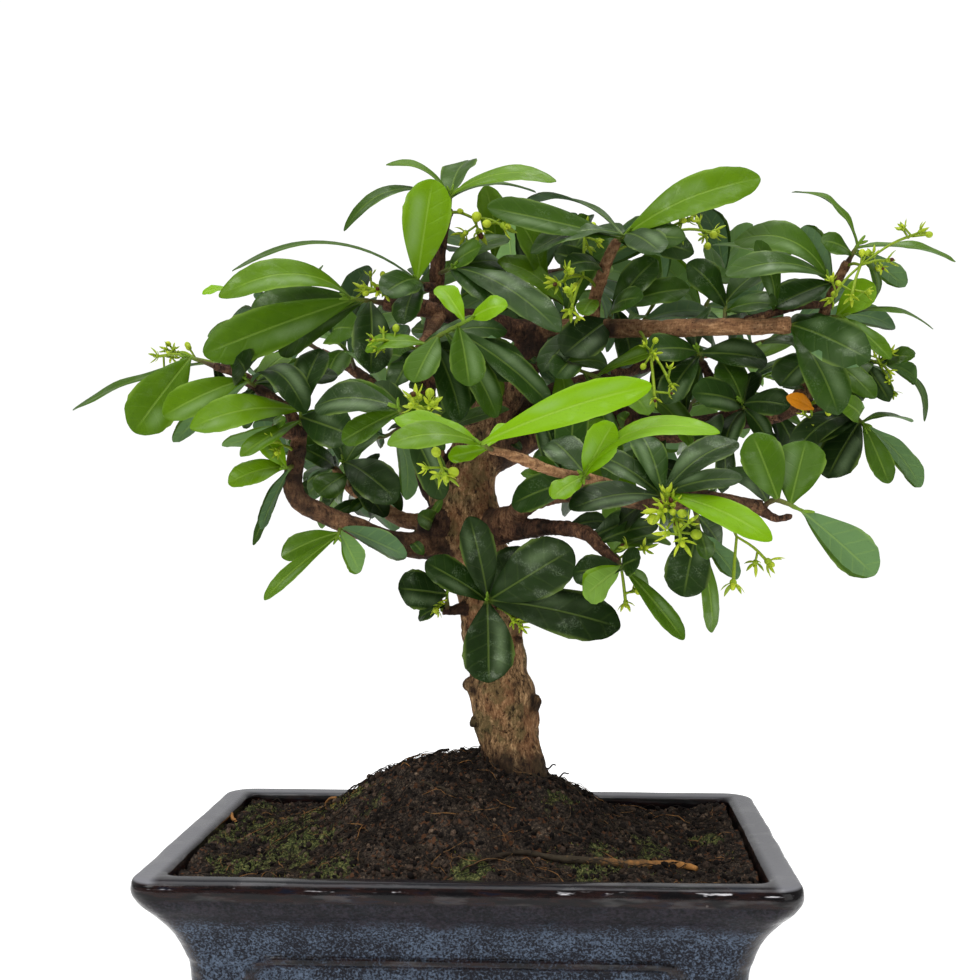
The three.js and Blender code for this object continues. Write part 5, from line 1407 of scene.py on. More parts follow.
def furrow(mesh):
    """Bark: lumps, ridges that run up the trunk and fine scales, raised along each point's own direction"""
    count = len(mesh.vertices)
    spots, facing = np.empty(count * 3), np.empty(count * 3)
    mesh.vertices.foreach_get("co", spots)
    mesh.vertex_normals.foreach_get("vector", facing)
    spots, facing = spots.reshape(-1, 3), facing.reshape(-1, 3)
    own = (spots - MIDDLE) / MM
    girth, pale = nearest_stretch(own)
    tall = own.copy()
    tall[:, 2] *= np.where(girth > 6, 0.45, 0.85)
    lumps = 0.55 * drift(own, 5.5, 111) * np.clip(girth / 5, 0.35, 1)
    ridges = (0.5 - np.abs(drift(tall, 2.4, 112))) * np.clip(girth / 7, 0.4, 0.9)
    scales = 0.18 * drift(tall, 1.0, 113)
    rise = lumps + 0.6 * ridges + scales
    scar = np.zeros(count)
    for (column, row, depth), size in KNOBS:
        away = np.linalg.norm(own - sight((column, row, depth)), axis=1) / size
        scar = np.maximum(scar, np.clip(1.6 - 1.6 * away + 0.5 * drift(own, 1.6, 114), 0, 1))
    mesh.vertices.foreach_set("co", (spots + facing * (rise * MM)[:, None]).ravel())
    for name, value in (("girth", girth), ("rise", rise), ("scar", scar), ("pale", pale)):
        entry = mesh.attributes.new(name, "FLOAT", "POINT")
        entry.data.foreach_set("value", value.astype(np.float32))
    mesh.shade_smooth()
    mesh.update()
    return mesh


def make_wood(names, name, voxel, with_knobs):
    """Limbs and egg-shaped knobs, run into one skin and furrowed"""
    shape = Shape()
    for limb in names:
        path, radii = WOOD_WAYS[limb]
        shape.lay(limb_rings(path, radii, 14 if radii[0] > 4 else 10))
    for (column, row, depth), size in KNOBS if with_knobs else ():
        centre = sight((column, row, depth))
        shape.lay(ball_rings(centre, unit(np.array([0.3, -0.4, 0.8])), (size / 2, size / 2 * 1.15), 9, 12))
    mesh = furrow(joined(shape, voxel, 3))
    mesh.name = name
    return mesh


# Leaves


# Each leaf's tone, from near-black green to yellow-green
TONES = {
    "leader": (0.3, 0.55, 0.35, 0.4, 0.66),
    "leader_base": (0.2, 0.2, 0.42, 0.3, 0.76),
    "upper_left": (0.1, 0.34, 0.32, 0.46, 0.6),
    "far_left": (0.4, 0.55),
    "left_middle": (0.12, 0.06, 0.4, 0.55),
    "left_bend": (0.5, 0.55, 0.06, 0.14, 0.64),
    "left_low": (0.25, 0.2, 0.7, 0.85),
    "left_under": (0.2, 0.5, 0.5, 0.55),
    "left_heart": (0.1, 0.3, 0.1, 0.2, 0.3, 0.08),
    "front_left": (0.1, 0.45, 0.08),
    "young_shoot": (0.12, 0.6, 0.2, 0.42, 0.3, 0.2, 0.36, 0.9, 0.95),
    "upper_middle": (0.35, 0.3, 0.4, 0.2, 0.15),
    "front_twig_end": (0.92, 0.95, 0.85, 0.62, 1.0),
    "front_twig_middle": (0.1, 0.12, 0.85, 1.0, 0.93),
    "front_heart": (0.04, 0.04, 0.14, 0.2, 0.1, 0.1, 0.9),
    "front_hanging": (0.2, 0.1, 0.06, 0.3, 0.35, 0.5),
    "right_pair": (0.12, 0.42, 0.44, 0.35),
    "low_right": (0.55, 0.75, 0.1, 0.1, 0.45),
    "trunk_spur": (0.08, 0.05, 0.1, 0.03, 0.03, 0.03),
    "low_left_spur": (0.15, 0.06),
    "right_top": (0.35, 0.3, 0.35, 0.5, 0.5),
    "right_shoulder": (0.2, 0.3, 0.35, 0.42, 0.3),
    "right_middle": (0.35, 0.2, 0.75, 0.5, 0.5),
    "far_right": (0.35, 0.4, 0.4, 0.5, 0.3),
    "right_heart": (0.35, 0.1, 0.4),
    "low_far_right": (0.1, 0.03, 0.4, 0.4, 0.35),
    "right_crook": (0.12, 0.14, 0.2, 0.2, 0.12, 0.25),
    "mid_right": (0.1, 0.15, 0.15, 0.2, 0.2),
    "bar_middle": (0.04, 0.25, 0.2, 0.3, 0.14),
    "bar_end": (0.12, 0.3, 0.2, 0.2),
    "top_spur": (0.3, 0.62, 0.3, 0.3, 0.25, 0.15),
}

# How far a leaf's tip droops, where it isn't drawn
CURLS = {
    ("young_shoot", 7): 1.9, ("young_shoot", 8): 1.7, ("young_shoot", 1): 1.4, ("upper_left", 4): 0.8,
    ("right_top", 4): 0.9, ("leader", 0): 1.0, ("far_left", 0): 0.1,
}


def leaf_rings(blade, base, draws, curl, rows=21, cut=4):
    """A leaf is a thin closed sheet carried from stalk to tip. Across, it is a shallow channel whose margins
    roll over; along, it arches, twists and droops at the tip, and its margins ripple and bear a few blunt
    teeth towards the tip. The underside lies a third of a millimetre below, with the midrib's ridge"""
    t = (1 - (1 - np.linspace(0, 1, rows)) ** 1.45)[:, None]
    t[-1] = 0.997
    upper = np.linspace(-1, 1, 2 * cut + 1)
    across = np.concatenate([upper, upper[::-1][1:-1]])[None]
    top = np.concatenate([np.ones(2 * cut + 1), -np.ones(2 * cut - 1)])[None]
    length, width = blade["length"], blade["width"]
    half = np.maximum(width / 2 * blade_outline(t), 0.5 * (1 - t) ** 0.25 + 0.06)
    teeth = np.sin(2 * math.pi * (t / 0.13 + draws.random()))
    half = half * (1 + 0.028 * teeth * np.clip((t - 0.55) / 0.15, 0, 1))
    fold = draws.uniform(0.14, 0.36)
    ripple = draws.uniform(0.1, 0.5)
    waves = draws.uniform(1.4, 2.6) * t + draws.random()
    ripple = ripple * np.sin(2 * math.pi * waves + 1.3 * (across > 0))
    bend = math.radians(draws.uniform(-16, 16)) * (t - 0.25)
    droop = curl * 0.09 * length * np.maximum(t - 0.62, 0) ** 2 / 0.1444
    lift = blade["arch"] * length * 4 * t * (1 - t) - droop
    channel = fold * (np.abs(across) ** 1.5 - 0.5) - 0.12 * across ** 6
    lift = lift + half * channel + ripple * across ** 2 * (half > 1.5)
    thick = (0.36 + 0.5 * np.exp(-t / 0.06)) * (1 - across ** 2) ** 0.5
    ridge = 0.3 * np.exp(-((across * half / 0.55) ** 2)) * (1 - t) * (top < 0)
    lift = lift + top * thick / 2 - ridge
    way = blade["root"] + (blade["tip"] - blade["root"]) * t[..., None]
    way = way + (base - blade["root"]) * (1 - t[..., None]) ** 3
    side = blade["side"] * np.cos(bend)[..., None] + blade["normal"] * np.sin(bend)[..., None]
    grid = way + blade["normal"] * lift[..., None] + side * (half * across)[..., None]
    return grid, np.broadcast_to(t, grid.shape[:2]), np.broadcast_to(across * half, grid.shape[:2]), top


LEAF_VALUES = ("along", "off_rib", "broad", "tone", "dry")


def lay_leaf(shape, blade, rings, tone, dry=0):
    """Lays a leaf's rings, with what its finish reads at each point and on the faces below"""
    grid, along, off_rib, top = rings
    under = np.broadcast_to(top < 0, (grid.shape[0] - 1, grid.shape[1]))
    values = dict(along=along, off_rib=off_rib, broad=blade["width"], tone=tone, dry=dry)
    shape.lay(grid, face={"under": under}, **values)


def make_inner_leaves(made):
    """The small dark leaves of the crown's inside, one dead leaf caught in it, and a leaf's pale beak"""
    draws = np.random.default_rng(INNER_SEED)
    shape = Shape(*LEAF_VALUES, face_names=("under",))
    for blade in made:
        rings = leaf_rings(blade, blade["root"], draws, draws.uniform(-0.1, 0.6), 9, 2)
        lay_leaf(shape, blade, rings, draws.uniform(0.02, 0.3) + 0.3 * (draws.random() < 0.22))
    dead = blade_of(*sight([(813, 409, -20), (791, 397, -27)]), 5.2, 74, 0.1)
    lay_leaf(shape, dead, leaf_rings(dead, dead["root"], draws, 2.0), 0.5, dry=1)
    beak = blade_of(*sight([(231, 289, -34), (202, 293, -37)]), 4.2, 34, 0.1)
    lay_leaf(shape, beak, leaf_rings(beak, beak["root"], draws, 0.4, 9, 2), 1.0)
    return shape.mesh("inner_leaves")


def make_shoot(name, path, number):
    """A leafy shoot: its stem, tapering from the wood to a bud, and the leaves where their solids are"""
    draws = np.random.default_rng(SHOOT_SEED + number)
    shape = Shape(*LEAF_VALUES, face_names=("under",))
    smooth = swept(path, 6) if len(path) > 2 else even_steps(path, 1.5)
    smooth = even_steps(smooth, 1.4)
    share = np.linspace(0, 1, len(smooth))
    radii = STEM_RADIUS * (1 - 0.42 * share) * (1 + 0.14 * np.sin(share * 37 + number))
    ripe = 0.55 if name == "young_shoot" else 0
    shape.lay(tube_rings(smooth, radii, 8), finish=1, along=ripe + (1 - ripe) * share[:, None], tone=0.5)
    for k, blade in blades[name].items():
        base = path_point(smooth, blade["share"])
        tone = TONES[name][k] if name in TONES and k < len(TONES[name]) else draws.uniform(0.08, 0.42)
        if name in FAR_SHOOTS:
            tone = draws.uniform(0.06, 0.62)
        curl = CURLS.get((name, k), draws.uniform(-0.1, 0.7))
        lay_leaf(shape, blade, leaf_rings(blade, base, draws, curl), tone + draws.uniform(-0.03, 0.03))
    tip = smooth[-1]
    ahead = unit(smooth[-1] - smooth[-3])
    for k in range(3):
        lean = unit(ahead + draws.normal(0, 0.35, 3))
        shape.lay(ball_rings(tip + lean * 1.6, lean, (0.55, 2.2), 7, 6), finish=1, along=1.0, tone=1.0)
    return shape.mesh(f"{name}_leaves")


# Sprays of calyces


def sepal_rings(root, out, ahead, length, width):
    """A narrow pointed sepal: lens-shaped sections that bend from outwards to ahead"""
    t = np.linspace(0, 1, 6)[:, None, None]
    angle = (np.arange(6) * math.pi / 3)[None, :, None]
    across = unit(np.cross(out, ahead))
    bend = t * 0.9
    curve = np.sin(bend) / 0.9 * out + (1 - np.cos(bend)) / 0.9 * ahead
    way = root + length * curve + 0.45 * length * t * ahead
    half = width / 2 * (np.sin(math.pi * (0.12 + 0.86 * t)) ** 0.8)
    thick = unit(np.cross(across, out * np.cos(bend) + ahead * np.sin(bend)))
    return way + across * half * np.cos(angle) + thick * 0.3 * half * np.sin(angle)


def lay_star(shape, centre, ahead, size, draws):
    """A calyx: a cup on its stalk, a small green or brown fruit, and five pointed sepals round it"""
    cup = ball_rings(centre - ahead * 0.9 * size, ahead, (1.35 * size, 1.5 * size), 7, 8)
    shape.lay(cup, shade=0.6, along=0.2)
    fruit = ball_rings(centre + ahead * 0.7 * size, ahead, (1.05 * size, 1.4 * size), 7, 8)
    shape.lay(fruit, shade=draws.choice([0.7, 0.9, 0.9, 0.05]), along=0.6)
    side = unit(np.cross(ahead, (0.2, 0.3, 0.93)))
    up = np.cross(ahead, side)
    spin = draws.random() * 6.28
    for k in range(5):
        angle = spin + 2 * math.pi * k / 5 + draws.normal(0, 0.12)
        out = unit(side * math.cos(angle) + up * math.sin(angle) + draws.normal(0, 0.14, 3))
        length, width = size * draws.uniform(3.6, 4.8), size * draws.uniform(1.5, 2.1)
        rings = sepal_rings(centre - ahead * 0.5 + out * 0.8 * size, out, ahead, length, width)
        shape.lay(rings, shade=draws.uniform(0.5, 1.0), along=np.linspace(0, 1, 6)[:, None])


# How large a spray's stars are, and how crowded it is
SPRAY_FORMS = {
    "far_left": (0.62, 2), "upper_left": (0.7, 3), "crown": (0.95, 1), "top": (0.72, 3),
    "right_of_top": (0.72, 3), "right_end": (0.66, 2), "front_heart": (0.84, 3), "low_right": (0.68, 1),
    "hanging": (0.84, 0), "front_left": (0.78, 3),
}


def lay_spray(shape, root, fork, calyces, full, crowd, draws):
    """Thin forking stalks: on each end a star, with smaller stars and round buds on side stalks round it"""
    stem = swept(np.array([root, (root + fork) / 2 + (0, 0, 0.8), fork]), 4)
    shape.lay(tube_rings(stem, np.linspace(0.6, 0.48, 9), 6), shade=0.35)
    for calyx in calyces:
        ahead = unit(calyx - fork)
        middle = (fork + calyx) / 2 + (0, 0, 0.06 * np.linalg.norm(calyx - fork))
        stalk = swept(np.array([fork, middle, calyx - ahead * 1.6]), 4)
        shape.lay(tube_rings(stalk, np.linspace(0.42, 0.55, len(stalk)), 6), shade=0.5)
        lay_star(shape, calyx, ahead, full, draws)
        for size in (0.85 * full, 0, 0.7 * full, 0)[:crowd + draws.integers(0, 2)]:
            lean = unit(np.cross(ahead, draws.normal(size=3)) + ahead * draws.uniform(-0.4, 0.5))
            bough = calyx - ahead * draws.uniform(3, 5)
            end = bough + lean * draws.uniform(3.4, 5.0)
            shape.lay(tube_rings(np.linspace(bough, end, 4), [0.4] * 4, 5), shade=0.5)
            if size:
                lay_star(shape, end + lean, lean, size, draws)
            else:
                girth = draws.uniform(1.5, 2.1) * full
                bud = ball_rings(end + lean * 0.7, lean, (girth, girth * 1.1), 9, 10)
                shape.lay(bud, shade=draws.uniform(0.7, 1), along=0.4)
    for _ in range(crowd):
        lean = unit(draws.normal(size=3) + (0, -0.4, 0.7))
        end = fork + lean * draws.uniform(2.5, 5.0)
        shape.lay(tube_rings(np.linspace(fork, end, 4), [0.35] * 4, 5), shade=0.5)
        girth = draws.uniform(0.8, 1.2)
        bud = ball_rings(end + lean * 0.8, lean, (girth, girth * 1.2), 9, 10)
        shape.lay(bud, shade=draws.uniform(0.7, 1), along=0.4)


def make_spray(name, root, fork, calyces, number):
    """One of the large sprays, in the form that its place in the photo shows"""
    shape = Shape("shade", "along")
    lay_spray(shape, root, fork, calyces, *SPRAY_FORMS[name], np.random.default_rng(SPRAY_SEED + number))
    return shape.mesh(f"{name}_calyces")


# Sprays too small for a solid of their own: a root on the wood, then calyces
SMALL_SPRAYS = [
    [(640, 330, -10), (655, 400, -40), (672, 386, -36), (655, 354, -34)],
    [(823, 325, -20), (836, 326, -22), (842, 336, -20), (828, 342, -24)],
    [(862, 362, 4), (893, 352, -4), (890, 372, -6), (895, 394, 0)],
    [(802, 404, 2), (826, 398, -24), (812, 426, -16)],
    [(417, 350, -36), (376, 350, -44), (372, 340, -46)],
    [(296, 455, -25), (270, 440, -38), (276, 452, -36)],
    [(440, 605, -8), (437, 612, -14), (441, 600, -16)],
    [(497, 612, -8), (522, 628, -30), (514, 622, -28)],
]


def make_small_sprays():
    """All the small sprays in one piece, at half size"""
    draws = np.random.default_rng(SMALL_SPRAY_SEED)
    shape = Shape("shade", "along")
    for rows in SMALL_SPRAYS:
        lay_spray(shape, *spray_way(rows), 0.5, 1, draws)
    return shape.mesh("small_calyces")


# Finishes of the bonsai


def glaze_finish():
    """Stoneware glaze: fine blue worms in a dark ground on the wall, a smoky band under the lip, and a glassy
    near-black brown, streaked red and blue, where it runs thin on the lip and the beads. The rim's level top is
    grey, with a paler grey painted at its ends and back as a reflection. Short near-white marks on the lip's
    front edge are painted highlights, standing for glints"""
    f = Finish("speckled_glaze", Coat_Roughness=0.06, Specular_IOR_Level=0.12)
    thin = f.kept("bare")
    across, back, height = (f.add("ShaderNodeSeparateXYZ", {}, {0: f.place()}, axis) for axis in "XYZ")
    worms = f.grain(0.75, 4, 0.68, warp=0.5)
    clouds = f.grain(15, 3)
    specks = (worms + (clouds - 0.5) * 0.3).rise(0.45, 0.62)
    ground = f.mix(f.grain(0.7, 2), tint(9, 9, 14), tint(20, 21, 31))
    blue = f.mix(f.grain(1.8, 3), tint(35, 43, 58), tint(98, 113, 133))
    wall = f.mix(specks, ground, blue)
    puffs = (f.grain(1.3, 4, 0.75) + (f.grain(6, 2) - 0.5) * 0.3).rise(0.4, 0.64)
    smoke = f.mix(puffs, tint(3, 2, 4), tint(36, 30, 37))
    high = (height + (f.grain(9, 3) - 0.5) * 9).rise(54.5, 60)
    wall = f.mix(high * 0.92, wall, smoke)
    runs = f.grain(4, 4, 0.62, place=f.place(0.3, 0.3, 1.7))
    brown = f.ramp(runs, (0.32, 5, 4, 7), (0.46, 10, 7, 9), (0.56, 30, 15, 13), (0.66, 13, 15, 27))
    lip = (height + (runs - 0.5) * 2.6).rise(65.2, 66.8)
    edge = (thin + (f.grain(2.0, 4, 0.6) - 0.5) * 0.8).rise(0.25, 0.7).greater(lip)
    colour = f.mix(edge, wall, brown)
    colour = f.mix(f.grain(2.6, 2).rise(0.74, 0.78) * edge * 0.5, colour, tint(104, 96, 92))
    # painted highlight: near-white marks on the rounded top of the lip's front edge stand for glints of the
    # lamps
    ridge = height.rise(69.4, 69.8) * height.rise(70.7, 70.2) * thin.rise(0.3, 0.6)
    painted_glint_streaks = f.grain(2.4, 3, 0.6, place=f.place(0.22, 0.22, 1.0)).rise(0.57, 0.66)
    colour = f.mix(ridge * painted_glint_streaks * 0.85, colour, tint(214, 212, 216))
    # the rim's level top is mixed towards grey; at its ends and back a paler grey is painted as a reflection
    level = height.rise(70.6, 71.4) * edge
    sheen = abs(across - MIDDLE[0] / MM).rise(91, 95).greater((back - MIDDLE[1] / MM).rise(64, 68))
    grey = f.mix(f.grain(3, 4, 0.6), tint(50, 50, 57), tint(66, 66, 74))
    colour = f.mix(level * (0.35 + sheen * 0.5), colour, f.mix(sheen, grey, tint(132, 132, 138)))
    rough = 0.4 - edge * 0.28 + (f.grain(1.2, 2) - 0.5) * 0.1
    glints = f.grain(5, 3, 0.6, place=f.place(0.35, 0.35, 1.6)).rise(0.5, 0.66)
    coat = edge * (0.15 + glints * 0.55 + level * 0.2) + 0.02
    relief = f.grain(1.6, 3) * 0.6 + worms * 0.4
    return f.surface(colour, rough, relief, 0.13, coat)


def peat_finish():
    """Peat: near-black crumbs with brown grains, and green where moss has taken hold"""
    f = Finish("dark_peat", Specular_IOR_Level=0.15)
    grains = f.grain(0.8, 5, 0.72)
    heaps = f.grain(7, 3)
    bits = f.cells(1.1, out="Color")
    pick = f.add("ShaderNodeSeparateColor", {}, {0: bits}, "Red")
    dark = f.ramp(grains * 0.7 + heaps * 0.3,
        (0.32, 11, 9, 8), (0.46, 32, 27, 24), (0.57, 70, 60, 52), (0.68, 136, 116, 95),
    )
    colour = f.mix(pick.rise(0.84, 0.92) * 0.7, dark, tint(96, 62, 40))
    green = f.ramp(f.grain(0.9, 4, 0.7), (0.34, 17, 23, 12), (0.5, 70, 78, 43), (0.66, 146, 145, 88))
    moss = (f.kept("moss") + (f.grain(2, 3) - 0.5) * 0.5).rise(0.3, 0.7)
    colour = f.mix(moss * 0.85, colour, green)
    return f.surface(colour, 0.8 + grains * 0.2, grains + f.grain(0.35, 3) * 0.5, 0.5)


def crumb_finish():
    """Crumbs: near-black to tan by each crumb's own shade, mottled"""
    f = Finish("peat_crumb", Specular_IOR_Level=0.15)
    shade = f.kept("shade") * 0.8 + (f.grain(0.5, 3) - 0.5) * 0.5
    colour = f.ramp(shade,
        (0.1, 15, 11, 10), (0.45, 37, 30, 26), (0.74, 78, 63, 53), (0.94, 150, 128, 106),
    )
    return f.surface(colour, 0.85 + shade * 0.1, f.grain(0.3, 3), 0.2)


def fibre_finish():
    """Fibres and root: dark brown to orange-tan by each strand's own shade, mottled"""
    f = Finish("root_fibre", Specular_IOR_Level=0.2)
    shade = f.kept("shade") + (f.grain(1.6, 3) - 0.5) * 0.5
    colour = f.ramp(shade, (0.1, 22, 16, 13), (0.5, 42, 33, 26), (0.75, 66, 58, 45), (0.96, 172, 120, 66))
    return f.surface(colour, 0.7 + f.grain(0.8, 2) * 0.25, f.grain(0.4, 3), 0.12)


def moss_finish():
    """Moss: dark green through olive to ochre by each tuft's own shade and slow drift"""
    f = Finish("green_moss", Specular_IOR_Level=0.2)
    shade = f.kept("shade") * 0.62 + f.grain(4, 3) * 0.36
    colour = f.ramp(shade,
        (0.14, 18, 26, 13), (0.42, 52, 68, 35), (0.68, 108, 118, 62), (0.95, 158, 122, 58),
    )
    return f.surface(colour, 0.7 + f.grain(1, 2) * 0.2, f.grain(0.3, 2), 0.1)


def bark_finish():
    """Bark: tan and mottled on the trunk, with dark scars, cracks and a green film, and dark brown on the
    limbs, near-black round their knots, with painted shade that darkens it where its relief sinks. Bare limbs
    are paler, with a grain drawn out from left to right"""
    f = Finish("bark", Specular_IOR_Level=0.2)
    girth = f.kept("girth")
    rise = f.kept("rise")
    tall = f.place(1, 1, 0.45)
    mottle = f.grain(3.0, 5, 0.68, place=tall)
    fine = f.grain(0.7, 4, 0.72, place=tall)
    tan = f.ramp(mottle * 0.5 + fine * 0.5,
        (0.37, 48, 34, 22), (0.45, 100, 75, 49), (0.54, 150, 116, 80), (0.63, 214, 176, 128),
    )
    tan = f.mix(f.grain(9, 2, 0.5, place=tall).rise(0.5, 0.62) * 0.45, tan, tint(126, 78, 50))
    height = f.add("ShaderNodeSeparateXYZ", {}, {0: f.place()}, "Z")
    brown = f.ramp(mottle * 0.5 + fine * 0.5, (0.33, 32, 22, 17), (0.5, 84, 57, 42), (0.64, 144, 104, 74))
    shadow = f.grain(13, 3, 0.5).rise(0.44, 0.58)
    brown = f.mix(shadow * 0.6, brown, tint(36, 25, 21))
    lengths = f.grain(1.6, 5, 0.7, place=f.place(0.16, 1, 1))
    light = f.ramp(lengths * 0.65 + fine * 0.35,
        (0.36, 88, 58, 40), (0.5, 146, 106, 72), (0.64, 196, 156, 114),
    )
    brown = f.mix(f.kept("pale") * (1 - shadow * 0.5), brown, light)
    thick = girth.rise(5.8, 8.4)
    colour = f.mix(thick, brown, tan)
    film = f.grain(8, 4, 0.6).rise(0.48, 0.62) * thick
    colour = f.mix(film * 0.5, colour, tint(78, 80, 46))
    scars = f.cells(1.9, place=f.place(1, 1, 1.5)).rise(0.2, 0.08)
    cracks = f.grain(1.5, 6, 0.74, place=tall).rise(0.43, 0.36) * (1 - f.kept("pale") * 0.8)
    colour = f.mix(scars.greater(cracks) * 0.75, colour, tint(40, 27, 19))
    # painted shade: where the bark's relief sinks it is darkened towards near-black, less on the trunk
    hollow_shade = rise.rise(0.1 - thick * 0.25, -0.55 - thick * 0.3) * (0.85 - thick * 0.25)
    colour = f.mix(hollow_shade, colour, tint(30, 21, 15))
    foot = (height + (mottle - 0.5) * 14).rise(SOIL_LEVEL + MOUND_RISE + 6, SOIL_LEVEL + MOUND_RISE - 2)
    colour = f.mix(foot * 0.75, colour, tint(44, 31, 24))
    colour = f.mix(f.kept("scar") * 0.85, colour, tint(26, 18, 14))
    relief = (mottle + f.kept("pale") * (lengths - mottle)) * 0.7
    return f.surface(colour, 0.7 + fine * 0.25, relief + fine * 0.7 - scars * 0.5 - cracks * 0.6, 0.6)


def leaf_finish():
    """A leathery leaf: from near-black green to yellow-green by its tone, with a pale midrib, hardly seen side
    veins, patches of fine pale specks and of gloss on the upper side, and a dull grey-green underside. The
    specks are partly the leaf's own dots and partly a painted sheen; a paler band along one half of the blade
    is a painted sheen, and the pale margin a painted highlight. A dead leaf is orange"""
    f = Finish("leaf_blade", Coat_Roughness=0.2, Specular_IOR_Level=0.22, Specular_Tint=(0.75, 1.0, 0.5, 1))
    along, off_rib, broad, tone, dry = (f.kept(name) for name in LEAF_VALUES)
    under = f.kept("under")
    blotch = f.grain(6, 3, 0.6)
    fine = f.grain(0.7, 3, 0.6)
    patch = f.grain(6, 2, 0.5, place=f.place(1, 1, 1.4)).rise(0.48, 0.66) * f.grain(24, 2).rise(0.4, 0.56)
    depth = tone + (blotch - 0.5) * 0.16
    upper = f.ramp(depth,
        (0.0, 15, 32, 7), (0.2, 31, 57, 10), (0.45, 60, 92, 5), (0.72, 94, 131, 3), (1.0, 118, 164, 4),
    )
    below = f.ramp(depth, (0.0, 56, 82, 52), (0.3, 86, 116, 76), (0.6, 104, 140, 68), (1.0, 132, 172, 40))
    away = abs(off_rib)
    rib = (away + (fine - 0.5) * 0.08).rise(0.5, 0.15) * along.rise(1.0, 0.75)
    lean = away / (broad * 0.5)
    phase = (along * 6.5 - lean * 1.15 + (blotch - 0.5) * 0.3) % 1.0
    vein = abs(phase - 0.5).rise(0.12, 0.0) * away.rise(0.2, 0.7)
    vein = vein * lean.rise(1.0, 0.7) * along.rise(0.12, 0.3)
    plain = f.mix(under, upper, below)
    pale = f.mix(0.45, plain, tint(160, 190, 84))
    colour = f.mix((rib * (0.3 + tone * 0.3)).greater(vein * (0.04 + under * 0.14)), plain, pale)
    colour = f.mix(fine.rise(0.6, 0.74) * 0.22, colour, tint(10, 24, 5))
    # fine pale specks on the upper side: partly the leaf's own dots, partly a painted sheen on the darker
    # leaves
    specks = f.grain(0.55, 2, 0.6).rise(0.46, 0.66) * patch * (1 - under) * (1 - tone)
    colour = f.mix(specks * 0.22, colour, tint(138, 160, 122))
    # painted sheen: a paler band along one side of the midrib on the upper side of the blade
    painted_sheen = abs(off_rib / (broad * 0.5) - 0.4).rise(0.42, 0.0) * along.rise(0.12, 0.4) * along.rise(1.0, 0.72)
    painted_sheen = painted_sheen * f.grain(20, 1).rise(0.42, 0.6) * (0.7 + fine * 0.6) * (1 - under)
    colour = f.mix(painted_sheen * 0.26, colour, tint(150, 176, 128))
    # painted highlight: the outer fifth of each half of the blade, at its margin, is mixed halfway to pale
    # green
    colour = f.mix(lean.rise(0.8, 1.0) * 0.5, colour, pale)
    colour = f.mix(along.rise(0.08, 0.0) * 0.6, colour, tint(110, 130, 50))
    colour = f.mix((dry + (blotch - 0.5) * 0.6).rise(0.5, 0.9), colour, tint(200, 122, 18))
    rough = 0.42 + under * 0.25 + (fine - 0.5) * 0.1 - patch * 0.14
    coat = (1 - under) * (0.02 + patch * 0.3)
    relief = fine * 0.14 - vein * 0.2 - rib * 0.7 + abs(phase - 0.5) * 0.25
    return f.surface(colour, rough, relief, 0.18, coat)


def stem_finish():
    """Young stem: brown at the wood, green towards its end"""
    f = Finish("young_stem", Specular_IOR_Level=0.3)
    along = f.kept("along")
    fine = f.grain(0.9, 3)
    colour = f.ramp(along * 0.8 + (fine - 0.5) * 0.5,
        (0.1, 70, 48, 32), (0.5, 92, 98, 36), (0.9, 112, 152, 30),
    )
    return f.surface(colour, 0.5 + fine * 0.2, fine, 0.15)


def calyx_finish():
    """Calyx: red-brown where dried, yellow-green by its shade, paler at the points"""
    f = Finish("green_calyx", Specular_IOR_Level=0.3)
    shade, along = f.kept("shade"), f.kept("along")
    depth = shade * 0.75 + (f.grain(0.9, 3) - 0.5) * 0.3
    colour = f.ramp(depth,
        (0.04, 78, 34, 18), (0.18, 86, 104, 22), (0.45, 138, 164, 24), (0.85, 198, 212, 50),
    )
    colour = f.mix(along.rise(0.75, 1.0) * 0.3, colour, tint(190, 196, 84))
    return f.surface(colour, 0.45 + f.grain(1, 2) * 0.2, f.grain(0.4, 3), 0.1)


def plastic_finish():
    """Mesh plastic: near-black, with a film of dust"""
    f = Finish("black_mesh_plastic", Specular_IOR_Level=0.4)
    dust = f.grain(3, 4, 0.6)
    return f.surface(f.mix(dust, tint(22, 22, 23), tint(48, 44, 40)), 0.5 + dust * 0.3, f.grain(0.6, 3), 0.1)


# The bonsai


BARK, LEAF, STEM = bark_finish(), leaf_finish(), stem_finish()
FIBRE, CALYX = fibre_finish(), calyx_finish()

piece("pot_body", make_pot(), [glaze_finish()], "glaze", "pot", crease=60)
piece("peat_mound", make_soil(), [peat_finish()], "peat", "soil")
piece("peat_crumbs", make_crumbs(), [crumb_finish()], "peat")
piece("peat_fibres", make_fibres(), [FIBRE], "root_bark")
piece("moss_tufts", make_moss(), [moss_finish()], "peat")
piece("root_strand", make_surface_root(), [FIBRE], "root_bark", "surface_root")
STOUT = (
    "trunk", "right_fork", "knot", "left_fork", "right_limb", "left_limb", "back_left", "back_right",
    "back_middle", "bar_left", "bar_right", "low_left_spur", "trunk_spur",
)
SLIGHT = tuple(name for name in WOOD if name not in STOUT)
main_limbs = make_wood(STOUT, "trunk_and_main_limbs", STOUT_VOXEL, True)
piece("trunk_and_main_limbs", main_limbs, [BARK], "bark", "trunk_and_limbs")
piece("twigs", make_wood(SLIGHT, "twigs", SLIGHT_VOXEL, False), [BARK], "bark", "trunk_and_limbs")
for number, (name, path, _, _) in enumerate(shoots):
    piece(f"{name}_leaves", make_shoot(name, path, number), [LEAF, STEM], "leaf", f"shoot_{name}", crease=55)
piece("inner_leaves", make_inner_leaves(hidden), [LEAF, STEM], "leaf", crease=55)
for number, (name, (root, fork, calyces)) in enumerate(sprays.items()):
    spray = make_spray(name, root, fork, calyces, number)
    piece(f"{name}_calyces", spray, [CALYX], "calyx", f"calyx_spray_{name}")
piece("small_calyces", make_small_sprays(), [CALYX], "calyx")
